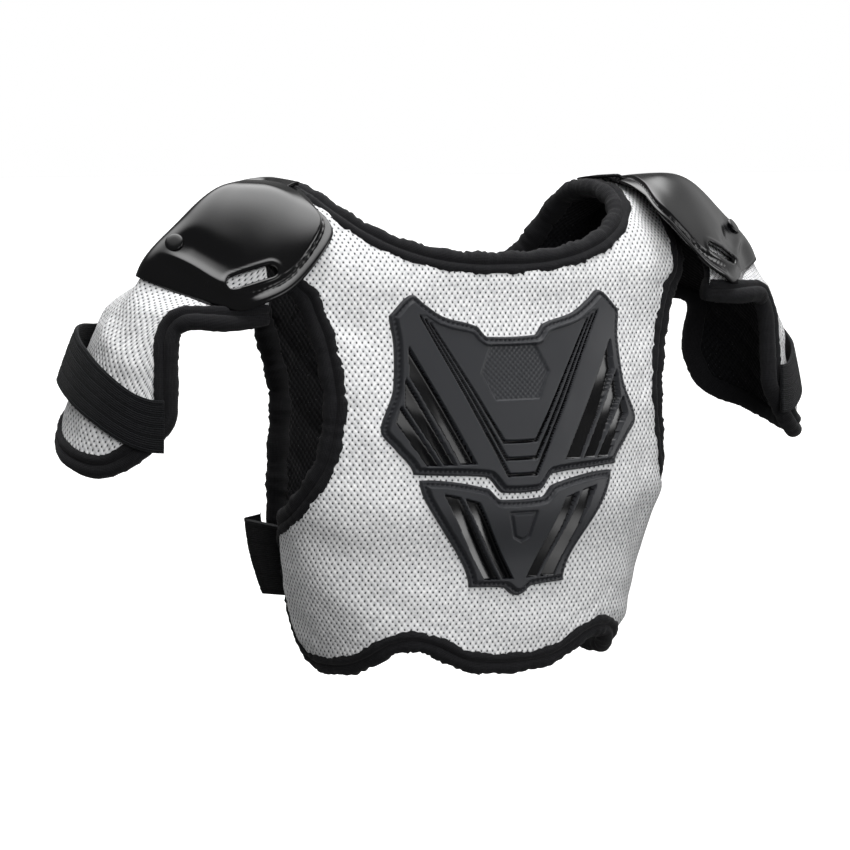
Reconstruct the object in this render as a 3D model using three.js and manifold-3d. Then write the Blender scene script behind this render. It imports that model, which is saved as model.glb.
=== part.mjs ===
// A child's roost deflector: a padded mesh vest with chest plates, two hard shoulder cups,
// two open arm sleeves and elastic straps, held in the form it has when worn.
// Millimetres, +Z up. The chest faces -Y and the wearer's right arm is on -X. The origin is
// on the underside of the shoulder pads, midway between them, where the wearer's shoulders are.

import * as THREE from 'three';
import Module from 'manifold-3d';
import { mergeVertices } from 'three/addons/utils/BufferGeometryUtils.js';

const wasm = await Module();
wasm.setup();

// Driving dimensions
const HEIGHT = 300; // shoulder rest to the lowest hem
const ARCH_DEEP = 54.9; // shoulder rest to the foot of the shoulder arch
const CHEST_HALF = 133; // half width under the armpits
const FRONT_DEPTH = 108; // shoulder line to the front of the chest
const BACK_DEPTH = 76; // shoulder line to the back
const SHOULDER_HALF = 140; // half width across the shoulder pads
const SHOULDER_WIDE = 25; // of one shoulder pad, from the neck opening to the armhole
const PAD = 8; // thickness of the padded panels
const SLEEVE_PAD = 7;
const GAP = 0.3; // between pieces that touch
const BINDING = 11; // width of the edge binding past the panel
const BINDING_SEAT = 0.12 * PAD; // of the binding off the vest's edges, which twist
const SLEEVE_SEAT = 2.1; // and off the sleeve's, whose wall slopes there
const BINDING_THICK = 12;
const CUP_OUT = 10; // centre of a shoulder cup outside the shoulder pad's edge
const CUP_Y = -30; // and forward of the shoulder line
const CUP_RAISE = 6; // its top over the shoulder pad
const CUP_REACH = 76; // from that centre to the tip of the lip
const CUP_WALL = 2.5;
const PLATE_THICK = 4.5;
const PLATE_SEAT = 0.8; // off the curved front
const SIDE_STRAP = 48; // widths of the elastic
const ARM_STRAP = 32;
const SIDE_STRAP_UP = 64; // middle of the side strap above the lowest hem
const STRAP_THICK = 2.5;
const ARM_PITCH = 3.2; // degrees: the right arm's front hangs this much lower, the left's higher

const DEGREE = Math.PI / 180;
const NECK_HALF = SHOULDER_HALF - SHOULDER_WIDE;
const CUP_X = SHOULDER_HALF + CUP_OUT;
const CUP_TOP = PAD + CUP_RAISE;
const SLEEVE_CLEAR = 5.5; // between the armhole's binding and the sleeve
const SLEEVE_START = SHOULDER_HALF + BINDING + SLEEVE_CLEAR; // half width at the vest
const MESH_CLOTH = { color: 0xd9dadb, roughness: 0.85, metalness: 0 };
const BINDING_TAPE = { color: 0x17181a, roughness: 0.9, metalness: 0 };
const RUBBER = { color: 0x26282b, roughness: 0.55, metalness: 0 };
const GLOSSY_SHELL = { color: 0x0c0d0f, roughness: 0.2, metalness: 0 };
const ELASTIC = { color: 0x1b1c1f, roughness: 0.95, metalness: 0 };

// A smooth curve through the rows of a table: column `column` at height `key` of column 0.
function along(table, key, column) {
  const last = table.length - 1;
  const at = THREE.MathUtils.clamp(key, table[0][0], table[last][0]);
  let row = 0;
  while (row < last - 1 && at > table[row + 1][0]) row += 1;
  const slope = (i) => {
    if (i === 0 || i === last) return 0;
    const before = (table[i][column] - table[i - 1][column]) / (table[i][0] - table[i - 1][0]);
    const after = (table[i + 1][column] - table[i][column]) / (table[i + 1][0] - table[i][0]);
    return before * after <= 0 ? 0 : (2 * before * after) / (before + after);
  };
  const span = table[row + 1][0] - table[row][0];
  const t = (at - table[row][0]) / span;
  const value = (2 * t ** 3 - 3 * t ** 2 + 1) * table[row][column];
  const end = (3 * t ** 2 - 2 * t ** 3) * table[row + 1][column];
  const bend = (t ** 3 - 2 * t ** 2 + t) * slope(row) + (t ** 3 - t ** 2) * slope(row + 1);
  return value + end + bend * span;
}

const power = (x, exponent) => Math.sign(x) * Math.abs(x) ** exponent;

// The outer skin of the vest. `level` is a share of the height: 0 at the foot of the shoulder
// arch, -1 at the hem and +1 on top of the shoulder. `turn` is the angle from the centre of
// the chest or back: each level section is a superellipse.
const ROUND = 2 / 2.5;
const ARCH_Z = -ARCH_DEEP;
const ARCH_FULL = 0.9; // how full the arch is
const SIDE_CURL = 180; // how fast the side edges curl in past a quarter turn, mm per radian squared
const SHOULDER_SLOPE = 0.12;
const REST_X = (SHOULDER_HALF + NECK_HALF) / 2; // where the shoulders carry the pads
// half widths of the sections at the foot of the arch
const ARCH_HALF = { front: 1.178 * SHOULDER_HALF, back: 1.16 * SHOULDER_HALF };

// level, then half width, section depth and section centre as shares of the chest half width
// and the front depth
const FRONT_SECTIONS = [
  [-1, 0.76, 0.74, 0.167],
  [-0.878, 0.85, 0.75, 0.185],
  [-0.694, 0.94, 0.694, 0.25],
  [-0.535, 1, 0.63, 0.361],
  [-0.306, 1.09, 0.602, 0.333],
  [0, ARCH_HALF.front / CHEST_HALF, 0.556, 0.278],
];
// the same for the back, as shares of the back depth
const BACK_SECTIONS = [
  [-1, 0.78, 0.93, 0],
  [-0.694, 0.94, 0.97, 0],
  [-0.306, 1.02, 0.99, 0],
  [0, ARCH_HALF.back / CHEST_HALF, 0.92, 0],
];

function vest(side, turn, level) {
  const [table, depth, facing] = side === 'front'
    ? [FRONT_SECTIONS, FRONT_DEPTH, -1]
    : [BACK_SECTIONS, BACK_DEPTH, 1];
  const low = Math.min(level, 0);
  const arch = Math.max(level, 0) * Math.PI / 2;
  const past = Math.max(Math.abs(turn) - Math.PI / 2, 0);
  const x = along(table, low, 1) * CHEST_HALF * power(Math.sin(turn), ROUND)
    - Math.sign(turn) * SIDE_CURL * past ** 2;
  const section = along(table, low, 2) * power(Math.cos(turn), ROUND);
  const y = facing * depth * (along(table, low, 3) + section) * Math.cos(arch) ** ARCH_FULL;
  const top = PAD - SHOULDER_SLOPE * (Math.abs(x) - REST_X);
  const z = level > 0
    ? ARCH_Z + (top - ARCH_Z) * Math.sin(arch)
    : ARCH_Z - low * (-HEIGHT - ARCH_Z);
  return new THREE.Vector3(x, y, z);
}

// The outward unit normal of a surface given as a function of two numbers
function normalOf(surface, a, b, flip = 1) {
  const step = 1e-3;
  const alongA = surface(a + step, b).sub(surface(a - step, b));
  const alongB = surface(a, b + step).sub(surface(a, b - step));
  return alongA.cross(alongB).normalize().multiplyScalar(flip);
}

// A closed wall between two offsets of a grid of { p, n } places, in the cells that exist.
// In a looped grid the last column is the first one again.
function wall(grid, inner, outer, exists = () => true, looped = false) {
  const positions = [];
  const rows = grid.length - 1;
  const columns = grid[0].length - 1;
  const at = ([j, i], offset) => grid[j][i].p.clone().addScaledVector(grid[j][i].n, offset);
  const corner = (places) => places.forEach((place) => positions.push(...place.toArray()));
  const quad = (a, b, c, d) => corner([a, b, c, a, c, d]);
  const inside = (j, i) => j >= 0 && i >= 0 && j < rows && i < columns && exists(j, i);
  for (let j = 0; j < rows; j += 1) {
    for (let i = 0; i < columns; i += 1) {
      if (!inside(j, i)) continue;
      const ring = [[j, i], [j, i + 1], [j + 1, i + 1], [j + 1, i]];
      const neighbours = [[j - 1, i], [j, i + 1], [j + 1, i], [j, i - 1]];
      quad(...ring.map((place) => at(place, outer)));
      quad(...ring.map((place) => at(place, inner)).reverse());
      neighbours.forEach(([nj, ni], k) => {
        if (inside(nj, looped ? (ni + columns) % columns : ni)) return;
        const [from, to] = [ring[k], ring[(k + 1) % 4]];
        quad(at(from, inner), at(to, inner), at(to, outer), at(from, outer));
      });
    }
  }
  return solidFrom(positions);
}

function solidFrom(positions) {
  const geometry = new THREE.BufferGeometry();
  geometry.setAttribute('position', new THREE.Float32BufferAttribute(positions, 3));
  const merged = mergeVertices(geometry, 1e-3);
  const { array } = merged.index;
  const kept = [];
  for (let k = 0; k < array.length; k += 3) {
    const [a, b, c] = [array[k], array[k + 1], array[k + 2]];
    if (a !== b && b !== c && c !== a) kept.push(a, b, c);
  }
  merged.setIndex(kept);
  return merged;
}

// The frames of an edge: places on the panel's middle surface with the direction out of the
// panel and the panel's normal
function edgeFrames(edge, closed, outwardSign) {
  const count = edge.length;
  return edge.map(({ p, n }, k) => {
    const before = edge[closed ? (k + count - 1) % count : Math.max(k - 1, 0)].p;
    const after = edge[closed ? (k + 1) % count : Math.min(k + 1, count - 1)].p;
    const tangent = after.clone().sub(before).normalize();
    const out = tangent.clone().cross(n).normalize().multiplyScalar(outwardSign);
    return { p: p.clone(), n: n.clone(), out, tangent };
  });
}

// A strip of the given section, [out, normal] pairs in turn, swept along edge frames
function strip(frames, section, closed) {
  const positions = [];
  const ring = ({ p, n, out }) => section.map(([a, b]) => (
    p.clone().addScaledVector(out, a).addScaledVector(n, b)));
  const rings = frames.map(ring);
  const add = (...places) => places.forEach((place) => positions.push(...place.toArray()));
  const count = rings.length;
  const sides = section.length;
  for (let k = 0; k < (closed ? count : count - 1); k += 1) {
    const [one, two] = [rings[k], rings[(k + 1) % count]];
    for (let s = 0; s < sides; s += 1) {
      const next = (s + 1) % sides;
      add(one[s], one[next], two[next], one[s], two[next], two[s]);
    }
  }
  if (!closed) {
    for (let s = 1; s < sides - 1; s += 1) {
      add(rings[0][0], rings[0][s + 1], rings[0][s]);
      add(rings[count - 1][0], rings[count - 1][s], rings[count - 1][s + 1]);
    }
  }
  return outward(solidFrom(positions));
}

// Faces of a closed geometry turned outward: its signed volume is positive
function outward(geometry) {
  const place = geometry.attributes.position;
  const { array } = geometry.index;
  const [a, b, c] = [new THREE.Vector3(), new THREE.Vector3(), new THREE.Vector3()];
  let volume = 0;
  for (let k = 0; k < array.length; k += 3) {
    a.fromBufferAttribute(place, array[k]);
    b.fromBufferAttribute(place, array[k + 1]);
    c.fromBufferAttribute(place, array[k + 2]);
    volume += a.dot(b.cross(c));
  }
  if (volume < 0) {
    for (let k = 0; k < array.length; k += 3) {
      [array[k], array[k + 1]] = [array[k + 1], array[k]];
    }
  }
  return geometry;
}

function mirrored(geometry) {
  return outward(geometry.clone().scale(-1, 1, 1));
}

// The binding's section: a roll that is fullest at half its width. The grip is its half
// thickness at the panel as a share of the full thickness.
const VEST_GRIP = 0.42;
const SLEEVE_GRIP = 0.3;
const bindingSection = (seat, grip) => [
  [seat, -grip], [seat, grip], [0.5 * BINDING, 0.5], [BINDING, 0.22], [BINDING, -0.22],
  [0.5 * BINDING, -0.5],
].map(([out, share]) => [out, share * BINDING_THICK]);

// The front and back panels. Half of each is a grid whose columns run from the centre line,
// or above the neckline's lowest point from the neck edge, to the armhole and side edge.
const NECK_LOW = { front: 0.105, back: -0.1 }; // level of the neckline's lowest point
const NECK_ROUND = { front: 0.44, back: 0.27 };
const NECK_FULL = 3;

// level, then the turn of the side and armhole edge as a share of a quarter turn, up to where
// the edge follows the shoulder pad's width
const SIDE_EDGE = {
  front: [
    [-1, 1.07], [-0.9, 1.11], [-0.72, 1.12], [-0.64, 1.05], [-0.59, 0.93], [-0.535, 0.79],
    [-0.45, 0.63], [-0.36, 0.555], [-0.26, 0.505], [-0.12, 0.482], [-0.02, 0.51], [0.08, 0.58],
  ],
  back: [
    [-1, 0.33], [-0.85, 0.42], [-0.7, 0.46], [-0.5, 0.43], [-0.3, 0.38], [-0.1, 0.38],
    [0.08, 0.47],
  ],
};
const PAD_EDGE = 0.3; // level from which the edge is the shoulder pad's
// turn in radians, then the hem's rise over the lowest hem as a share of the height
const HEM_RISE = {
  front: [
    [0, 0.042], [0.19, 0.05], [0.3, 0.068], [0.41, 0.09], [0.55, 0.101], [0.71, 0.093],
    [0.94, 0.06], [1.21, 0.037], [1.5, 0.03], [1.62, 0.04], [1.7, 0.08],
  ],
  back: [[0, 0.04], [0.25, 0.06], [0.4, 0.07], [0.48, 0.09], [0.55, 0.13]],
};
const HEM_FADE = 3; // how fast the rows above the hem level out
const BODY_ROWS = 16;
const NECK_ROWS = 7;
const NECK_CROWD = 2.2; // how much closer the rows are at the foot of the neck
const PANEL_COLUMNS = 7;
const SEAM = 2e-3; // level between the two panels and the top of the shoulder

// The turn at which a level's section reaches the half width x
function turnAt(side, x, level) {
  const table = side === 'front' ? FRONT_SECTIONS : BACK_SECTIONS;
  const reach = along(table, Math.min(level, 0), 1) * CHEST_HALF;
  return Math.asin(Math.min(1, (x / reach) ** (1 / ROUND)));
}

function neckHalf(side, level) {
  const rise = THREE.MathUtils.clamp((level - NECK_LOW[side]) / (1 - NECK_LOW[side]), 0, 1);
  return NECK_HALF * (1 - (1 - rise) ** NECK_FULL) ** NECK_ROUND[side];
}

function edgeTurn(side, level) {
  const top = turnAt(side, SHOULDER_HALF, level) / (Math.PI / 2);
  const table = [...SIDE_EDGE[side], [PAD_EDGE, top], [1, top]];
  return along(table, level, 1) * Math.PI / 2;
}

function panelGrid(side) {
  const surface = (turn, level) => vest(side, turn, level);
  const flip = side === 'front' ? 1 : -1;
  const low = NECK_LOW[side];
  const grid = [];
  const place = (turn, level) => {
    const n = normalOf(surface, turn, level, flip);
    return { p: surface(turn, level).addScaledVector(n, -PAD / 2), n };
  };
  for (let j = 0; j <= BODY_ROWS; j += 1) {
    const up = j / BODY_ROWS;
    const level = -1 + up * (1 + low);
    const row = [];
    for (let i = 0; i <= PANEL_COLUMNS; i += 1) {
      const turn = edgeTurn(side, level) * i / PANEL_COLUMNS;
      const rise = along(HEM_RISE[side], turn, 1) * HEIGHT / (HEIGHT + ARCH_Z);
      row.push(place(turn, level + rise * (1 - up) ** HEM_FADE));
    }
    grid.push(row);
  }
  for (let j = 1; j <= NECK_ROWS; j += 1) {
    const level = low + (1 - low) * (j / NECK_ROWS) ** NECK_CROWD;
    const inner = turnAt(side, neckHalf(side, level), level);
    const row = [];
    for (let i = 0; i <= PANEL_COLUMNS; i += 1) {
      const turn = inner + (edgeTurn(side, level) - inner) * i / PANEL_COLUMNS;
      row.push(place(turn, Math.min(level, 1 - SEAM)));
    }
    grid.push(row);
  }
  return grid;
}

const flipX = ({ p, n }) => ({
  p: p.clone().multiply(new THREE.Vector3(-1, 1, 1)),
  n: n.clone().multiply(new THREE.Vector3(-1, 1, 1)),
});

// A whole panel from its half grid, open between the neck edges
function panel(half) {
  const whole = half.map((row) => [...[...row].reverse().map(flipX), ...row]);
  // the middle cells have no width up to the neckline's lowest point, and are missing above it
  const exists = (j, i) => i !== PANEL_COLUMNS || j < BODY_ROWS;
  return outward(wall(whole, -PAD / 2, PAD / 2, exists));
}

// Places of a grid of points with the unit normals of the surface through them
function withNormals(points) {
  const rows = points.length - 1;
  const columns = points[0].length - 1;
  return points.map((row, j) => row.map((p, i) => {
    const across = row[Math.min(i + 1, columns)].clone().sub(row[Math.max(i - 1, 0)]);
    const down = points[Math.min(j + 1, rows)][i].clone().sub(points[Math.max(j - 1, 0)][i]);
    return { p: p.clone(), n: down.cross(across).normalize() };
  }));
}

// Chest plates: half outlines as [half width, height] pairs in shares of the plate's half
// width and of the height, from the centre line outward
const UPPER_TOP = [[0, -0.283], [0.19, -0.281], [0.26, -0.259], [0.5, -0.238],
  [0.64, -0.211], [0.73, -0.191], [0.91, -0.235], [1, -0.25]];
const UPPER_BOTTOM = [[0, -0.606], [0.14, -0.604], [0.26, -0.57], [0.76, -0.559], [1, -0.551]];
// share of the way down the side, then the half width as a share of the plate's
const UPPER_SIDE = [[0, 0.9], [0.2, 0.88], [0.45, 0.9], [0.72, 1], [0.86, 0.9], [1, 0.79]];
const LOWER_TOP = [[0, -0.619], [0.16, -0.617], [0.26, -0.592], [0.73, -0.57], [1, -0.578]];
const LOWER_BOTTOM = [[0, -0.823], [0.04, -0.82], [0.11, -0.805], [0.34, -0.8], [1, -0.79]];
const LOWER_SIDE = [[0, 0.75], [1, 0.37]];
const PLATE_HALF = 91;
const PLATE_ROWS = 5;
const PLATE_COLUMNS = 9;

// The place on the vest's front at a half width and height
function onFront(x, z) {
  const level = z < ARCH_Z
    ? (z - ARCH_Z) / (HEIGHT + ARCH_Z)
    : Math.asin((z - ARCH_Z) / (PAD - ARCH_Z)) / (Math.PI / 2);
  const turn = turnAt('front', Math.abs(x), level) * Math.sign(x);
  const n = normalOf((a, b) => vest('front', a, b), turn, level);
  return { p: vest('front', turn, level), n };
}

function plate(top, bottom, side) {
  const grid = [];
  for (let j = 0; j <= PLATE_ROWS; j += 1) {
    const row = [];
    for (let i = -PLATE_COLUMNS; i <= PLATE_COLUMNS; i += 1) {
      const down = 1 - j / PLATE_ROWS;
      const share = Math.abs(i) / PLATE_COLUMNS * along(side, down, 1);
      const high = along(top, share, 1) * HEIGHT;
      const low = along(bottom, share, 1) * HEIGHT;
      row.push(onFront(Math.sign(i) * share * PLATE_HALF, high + (low - high) * down));
    }
    grid.push(row);
  }
  return outward(wall(grid, PLATE_SEAT, PLATE_SEAT + PLATE_THICK));
}

// A shoulder cup is a dome over a rim. The rim's directions run from the tip of the lip, at
// 0 degrees, past the front to the inner edge at 180, and the back is like the front: the
// radius as a share of the reach and the height in shares of the reach below the cup's top.
const RIM = [
  [0, 1, 0.75], [8, 0.895, 0.803], [15, 0.8, 0.855], [35, 0.71, 0.934], [60, 0.71, 0.987],
  [80, 0.737, 0.908], [92, 0.757, 0.829], [108, 0.79, 0.618], [123, 0.816, 0.382],
  [138, 0.59, 0.184], [160, 0.476, 0.079], [180, 0.447, 0.04],
];
// the rim's heights behind the centre, where it rides over the shoulder pad
const RIM_BACK = [
  [0, 0.75], [15, 0.75], [35, 0.7], [60, 0.6], [80, 0.38], [92, 0.21], [108, 0.09], [123, 0.05],
  [138, 0.035], [180, 0.04],
];
const RIM_CLEAR = 0; // least height of the cup's rim over the shoulder pad
const DOME_ROUND = 1.45;
const CAP_INSET = CUP_WALL + 0.054 * CUP_REACH; // of the sleeve's cap under the cup
const CUP_RINGS = [0, 0.3, 0.55, 0.78, 0.92, 1];
const CUP_COLUMNS = 28;
const DOME_ENDS = [0.02, 0.99]; // shares between which the dome has a clear normal

// Height of the shoulder pad's skin behind the shoulder line
function padHeight(x, y) {
  const edge = vest('back', turnAt('back', Math.min(x, SHOULDER_HALF), 0), 0).y;
  const forward = Math.min(1, Math.max(y, 0) / edge) ** (1 / ARCH_FULL);
  const top = PAD - SHOULDER_SLOPE * (x - REST_X);
  return ARCH_Z + (top - ARCH_Z) * Math.sqrt(1 - forward ** 2);
}

// How far the rim lies below the cup's top in a direction
function rimDrop(direction, radius) {
  const around = Math.abs(direction) / DEGREE;
  if (direction > 0) return along(RIM, around, 2) * CUP_REACH;
  const x = CUP_X + radius * Math.cos(direction);
  const y = CUP_Y - radius * Math.sin(direction);
  const drop = along(RIM_BACK, around, 1) * CUP_REACH;
  const overPad = x < SHOULDER_HALF + BINDING && y > 0;
  return overPad ? Math.min(drop, CUP_TOP - RIM_CLEAR - padHeight(x, y)) : drop;
}

function dome(share, direction, inset) {
  const radius = along(RIM, Math.abs(direction) / DEGREE, 1) * CUP_REACH;
  const reach = (radius - inset) * share;
  const drop = rimDrop(direction, radius);
  const height = 1 - (1 - share ** DOME_ROUND) ** (1 / DOME_ROUND);
  return new THREE.Vector3(
    CUP_X + reach * Math.cos(direction),
    CUP_Y - reach * Math.sin(direction),
    CUP_TOP - inset - (drop - inset) * height,
  );
}

function cup() {
  const grid = CUP_RINGS.map((share) => {
    const row = [];
    for (let i = 0; i <= CUP_COLUMNS; i += 1) {
      const direction = (i / CUP_COLUMNS * 2 - 1) * Math.PI;
      const p = dome(share, direction, 0);
      const near = THREE.MathUtils.clamp(share, ...DOME_ENDS);
      const n = share === 0
        ? new THREE.Vector3(0, 0, 1)
        : normalOf((a, b) => dome(a, b, 0), near, direction);
      row.push({ p, n });
    }
    return row;
  });
  for (const row of grid) row[CUP_COLUMNS] = row[0];
  return outward(wall(grid, -CUP_WALL, 0, () => true, true));
}

// The arm sleeve: a cap inside the cup, then a yoke and an open flap around the arm. Level
// sections are half superellipses: height, section centre, outward and forward half widths,
// all as shares of the cup's reach.
const SLEEVE_SECTIONS = [
  [-2.2, -0.06, 1.5, 0.87], [-1.97, -0.08, 1.46, 0.87], [-1.12, -0.17, 1.22, 0.84],
  [-0.8, -0.25, 1.08, 0.745],
];
const SLEEVE_ROUND = 2.2;
const YOKE_LOW = -0.8 * CUP_REACH; // height of the yoke's lower edge
const FLAP_X = CUP_X + 0.92 * CUP_REACH; // half width where the flap begins
const CAP_RINGS = [0.12, 0.4, 0.65, 0.85, 1];
const ARM_COLUMNS = 3;
const FLAP_COLUMNS = 12;
const FLAP_ROWS = 4;
// share of the way round the flap from its front edge, then the hem's depth below the yoke
// as a share of the reach
const SLEEVE_HEM = [
  [0, 0.88], [0.08, 1.06], [0.25, 1.24], [0.45, 1.18], [0.7, 1], [0.92, 0.84], [1, 0.6],
];

function sleeveSection(z, share) {
  const level = z / CUP_REACH;
  const centre = along(SLEEVE_SECTIONS, level, 1) * CUP_REACH;
  const reach = along(SLEEVE_SECTIONS, level, 2) * CUP_REACH;
  const half = along(SLEEVE_SECTIONS, level, 3) * CUP_REACH;
  const angleAt = (x) => Math.acos(((x - CUP_X) / reach) ** (SLEEVE_ROUND / 2));
  const [start, flap] = [angleAt(SLEEVE_START), angleAt(FLAP_X)];
  // share runs from -2 to -1 on the front of the yoke, to 1 round the flap, to 2 at the back
  const inside = Math.abs(share) <= 1;
  const angle = inside ? flap * share : Math.sign(share)
    * (flap + (start - flap) * (Math.abs(share) - 1));
  return new THREE.Vector3(
    CUP_X + reach * Math.abs(Math.cos(angle)) ** (2 / SLEEVE_ROUND),
    centre + half * power(Math.sin(angle), 2 / SLEEVE_ROUND),
    z,
  );
}

function sleeveShares() {
  const shares = [];
  for (let i = -ARM_COLUMNS; i < 0; i += 1) shares.push(-1 + i / ARM_COLUMNS);
  for (let i = 0; i <= FLAP_COLUMNS; i += 1) shares.push(-1 + 2 * i / FLAP_COLUMNS);
  for (let i = 1; i <= ARM_COLUMNS; i += 1) shares.push(1 + i / ARM_COLUMNS);
  return shares;
}

function sleeveGrid() {
  const shares = sleeveShares();
  const yoke = shares.map((share) => sleeveSection(YOKE_LOW, share));
  const points = CAP_RINGS.map((ring) => yoke.map((place) => {
    const direction = Math.atan2(CUP_Y - place.y, place.x - CUP_X);
    const p = dome(ring, direction, CAP_INSET);
    p.x = Math.max(p.x, SLEEVE_START);
    return p;
  }));
  points.push(yoke);
  for (let j = 1; j <= FLAP_ROWS; j += 1) {
    points.push(shares.map((share) => {
      const round = THREE.MathUtils.clamp((share + 1) / 2, 0, 1);
      const low = along(SLEEVE_HEM, round, 1) * CUP_REACH;
      return sleeveSection(YOKE_LOW - low * j / FLAP_ROWS, share);
    }));
  }
  const grid = withNormals(points);
  // the ends at the vest are cut square to it
  for (const row of grid) {
    for (const { n } of [row[0], row.at(-1)]) n.setX(0).normalize();
  }
  return grid;
}

const SLEEVE_TOP_ROWS = CAP_RINGS.length;
const sleeveCell = (j, i) => (
  j < SLEEVE_TOP_ROWS || (i >= ARM_COLUMNS && i < ARM_COLUMNS + FLAP_COLUMNS));

// The sleeve's bound edge: along the front of the yoke, round the flap and along its back
function sleeveEdge(grid) {
  const last = grid.length - 1;
  const [front, back] = [ARM_COLUMNS, ARM_COLUMNS + FLAP_COLUMNS];
  const edge = [];
  for (let i = 0; i <= front; i += 1) edge.push(grid[SLEEVE_TOP_ROWS][i]);
  for (let j = SLEEVE_TOP_ROWS + 1; j <= last; j += 1) edge.push(grid[j][front]);
  for (let i = front + 1; i <= back; i += 1) edge.push(grid[last][i]);
  for (let j = last - 1; j >= SLEEVE_TOP_ROWS; j -= 1) edge.push(grid[j][back]);
  for (let i = back + 1; i < grid[0].length; i += 1) edge.push(grid[SLEEVE_TOP_ROWS][i]);
  return edge.map(({ p, n }) => ({ p: p.clone().addScaledVector(n, -SLEEVE_PAD / 2), n }));
}

const group = new THREE.Group();

function add(name, geometry, look, pose = () => {}) {
  const mesh = new THREE.Mesh(geometry, new THREE.MeshStandardMaterial(look));
  mesh.name = name;
  pose(mesh);
  group.add(mesh);
}

const half = { front: panelGrid('front'), back: panelGrid('back') };
add('front_panel', panel(half.front), MESH_CLOTH);
add('back_panel', panel(half.back), MESH_CLOTH);
add('chest_plate_upper', plate(UPPER_TOP, UPPER_BOTTOM, UPPER_SIDE), RUBBER);
add('chest_plate_lower', plate(LOWER_TOP, LOWER_BOTTOM, LOWER_SIDE), RUBBER);

// The vest's outer edge, once round: front hem, left arm edge, back hem, right arm edge
function vestEdge() {
  const left = [
    ...half.front.slice(1).map((row) => row[PANEL_COLUMNS]),
    ...half.back.slice(1, -1).map((row) => row[PANEL_COLUMNS]).reverse(),
  ];
  const frontHem = half.front[0];
  const backHem = half.back[0];
  const right = [...left].reverse().map(flipX);
  const hem = (row) => [...[...row].slice(1).reverse().map(flipX), ...row];
  return {
    edge: [...hem(frontHem), ...left, ...hem(backHem).reverse(), ...right],
    counts: [frontHem.length * 2 - 1, left.length, backHem.length * 2 - 1, right.length],
  };
}

function neckEdge() {
  const side = (name) => half[name].slice(BODY_ROWS).map((row) => row[0]);
  const left = [...side('front'), ...side('back').slice(0, -1).reverse()];
  return [...left, ...left.slice(1, -1).reverse().map(flipX)];
}

// One stretch of a loop of frames, its ends drawn back by half a gap
function stretch(frames, from, to) {
  const cut = [];
  for (let k = from; k <= to; k += 1) {
    const frame = frames[(k + frames.length) % frames.length];
    const shift = GAP * ((k === from) - (k === to));
    cut.push({ ...frame, p: frame.p.clone().addScaledVector(frame.tangent, shift) });
  }
  return cut;
}

// A band of elastic: a wall of the strap's thickness through rows of places
function band(rows) {
  return outward(wall(withNormals(rows), 0, STRAP_THICK));
}

// The arm strap lies on the flap from its front edge, stands off it where the arm is
// adjusted, and comes back to its rear edge
const ARM_STRAP_COLUMNS = 16;
const ARM_STRAP_END = 1.05; // half of its run as a share of the flap's: its ends lie on the binding
const ARM_STRAP_SEAT = (BINDING_THICK - SLEEVE_PAD) / 2 + 2 * GAP;
const ARM_STRAP_LIFT = 5;
// share of the way round the flap, then the strap's middle below the yoke as a share of the
// reach, and how far it stands off its seat as a share of the full lift
const ARM_STRAP_LIE = [
  [0, 0.93, 0], [0.3, 0.72, 0.1], [0.55, 0.55, 0.7], [0.68, 0.5, 1], [0.85, 0.48, 0.5],
  [1, 0.48, 0],
];

function armStrap() {
  const lie = (share, down) => {
    const round = (share + 1) / 2;
    const middle = YOKE_LOW - along(ARM_STRAP_LIE, round, 1) * CUP_REACH;
    const on = (a, z) => sleeveSection(z, a);
    const n = normalOf(on, share, middle + down);
    const off = ARM_STRAP_SEAT + along(ARM_STRAP_LIE, round, 2) * ARM_STRAP_LIFT;
    return on(share, middle + down).addScaledVector(n, off);
  };
  const rows = [0.5, 0, -0.5].map((side) => {
    const row = [];
    for (let i = 0; i <= ARM_STRAP_COLUMNS; i += 1) {
      const share = (i / ARM_STRAP_COLUMNS * 2 - 1) * ARM_STRAP_END;
      row.push(lie(share, side * ARM_STRAP));
    }
    return row;
  });
  return band(rows);
}

// The side strap runs from inside the front panel's side edge to outside the back panel's
const SIDE_STRAP_RISE = 6; // towards the back
const SIDE_STRAP_COLUMNS = 12;
const SIDE_STRAP_CLEAR = 2; // least, between the strap and the inside of the front panel
// its course: the panel, the turn as a share of a quarter turn, and how far it bows off its seat
const SIDE_STRAP_COURSE = [
  ['front', 0.8, 0], ['front', 1, 0], ['front', 1.24, 0],
  ['back', 0.64, 3.5], ['back', 0.52, 2.5], ['back', 0.36, 0],
];

function sideStrap() {
  const off = (side, share, z, offset) => {
    const level = (z - ARCH_Z) / (HEIGHT + ARCH_Z);
    const turn = share * Math.PI / 2;
    const flip = side === 'front' ? 1 : -1;
    const n = normalOf((a, b) => vest(side, a, b), turn, level, flip);
    return vest(side, turn, level).addScaledVector(n, offset);
  };
  const seat = {
    front: -Math.max((PAD + BINDING_THICK) / 2, PAD + SIDE_STRAP_CLEAR) - STRAP_THICK - 3 * GAP,
    back: (BINDING_THICK - PAD) / 2 + 4 * GAP,
  };
  const rows = [0.5, 0, -0.5].map((side) => {
    const z = SIDE_STRAP_UP - HEIGHT + side * SIDE_STRAP;
    const course = new THREE.CatmullRomCurve3(SIDE_STRAP_COURSE.map(([panelSide, share, bow]) => (
      off(panelSide, share, z, seat[panelSide] + bow))));
    const row = [];
    for (let i = 0; i <= SIDE_STRAP_COLUMNS; i += 1) {
      const p = course.getPoint(i / SIDE_STRAP_COLUMNS);
      p.z += SIDE_STRAP_RISE * i / SIDE_STRAP_COLUMNS;
      row.push(p);
    }
    return row;
  });
  return band(rows);
}

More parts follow.
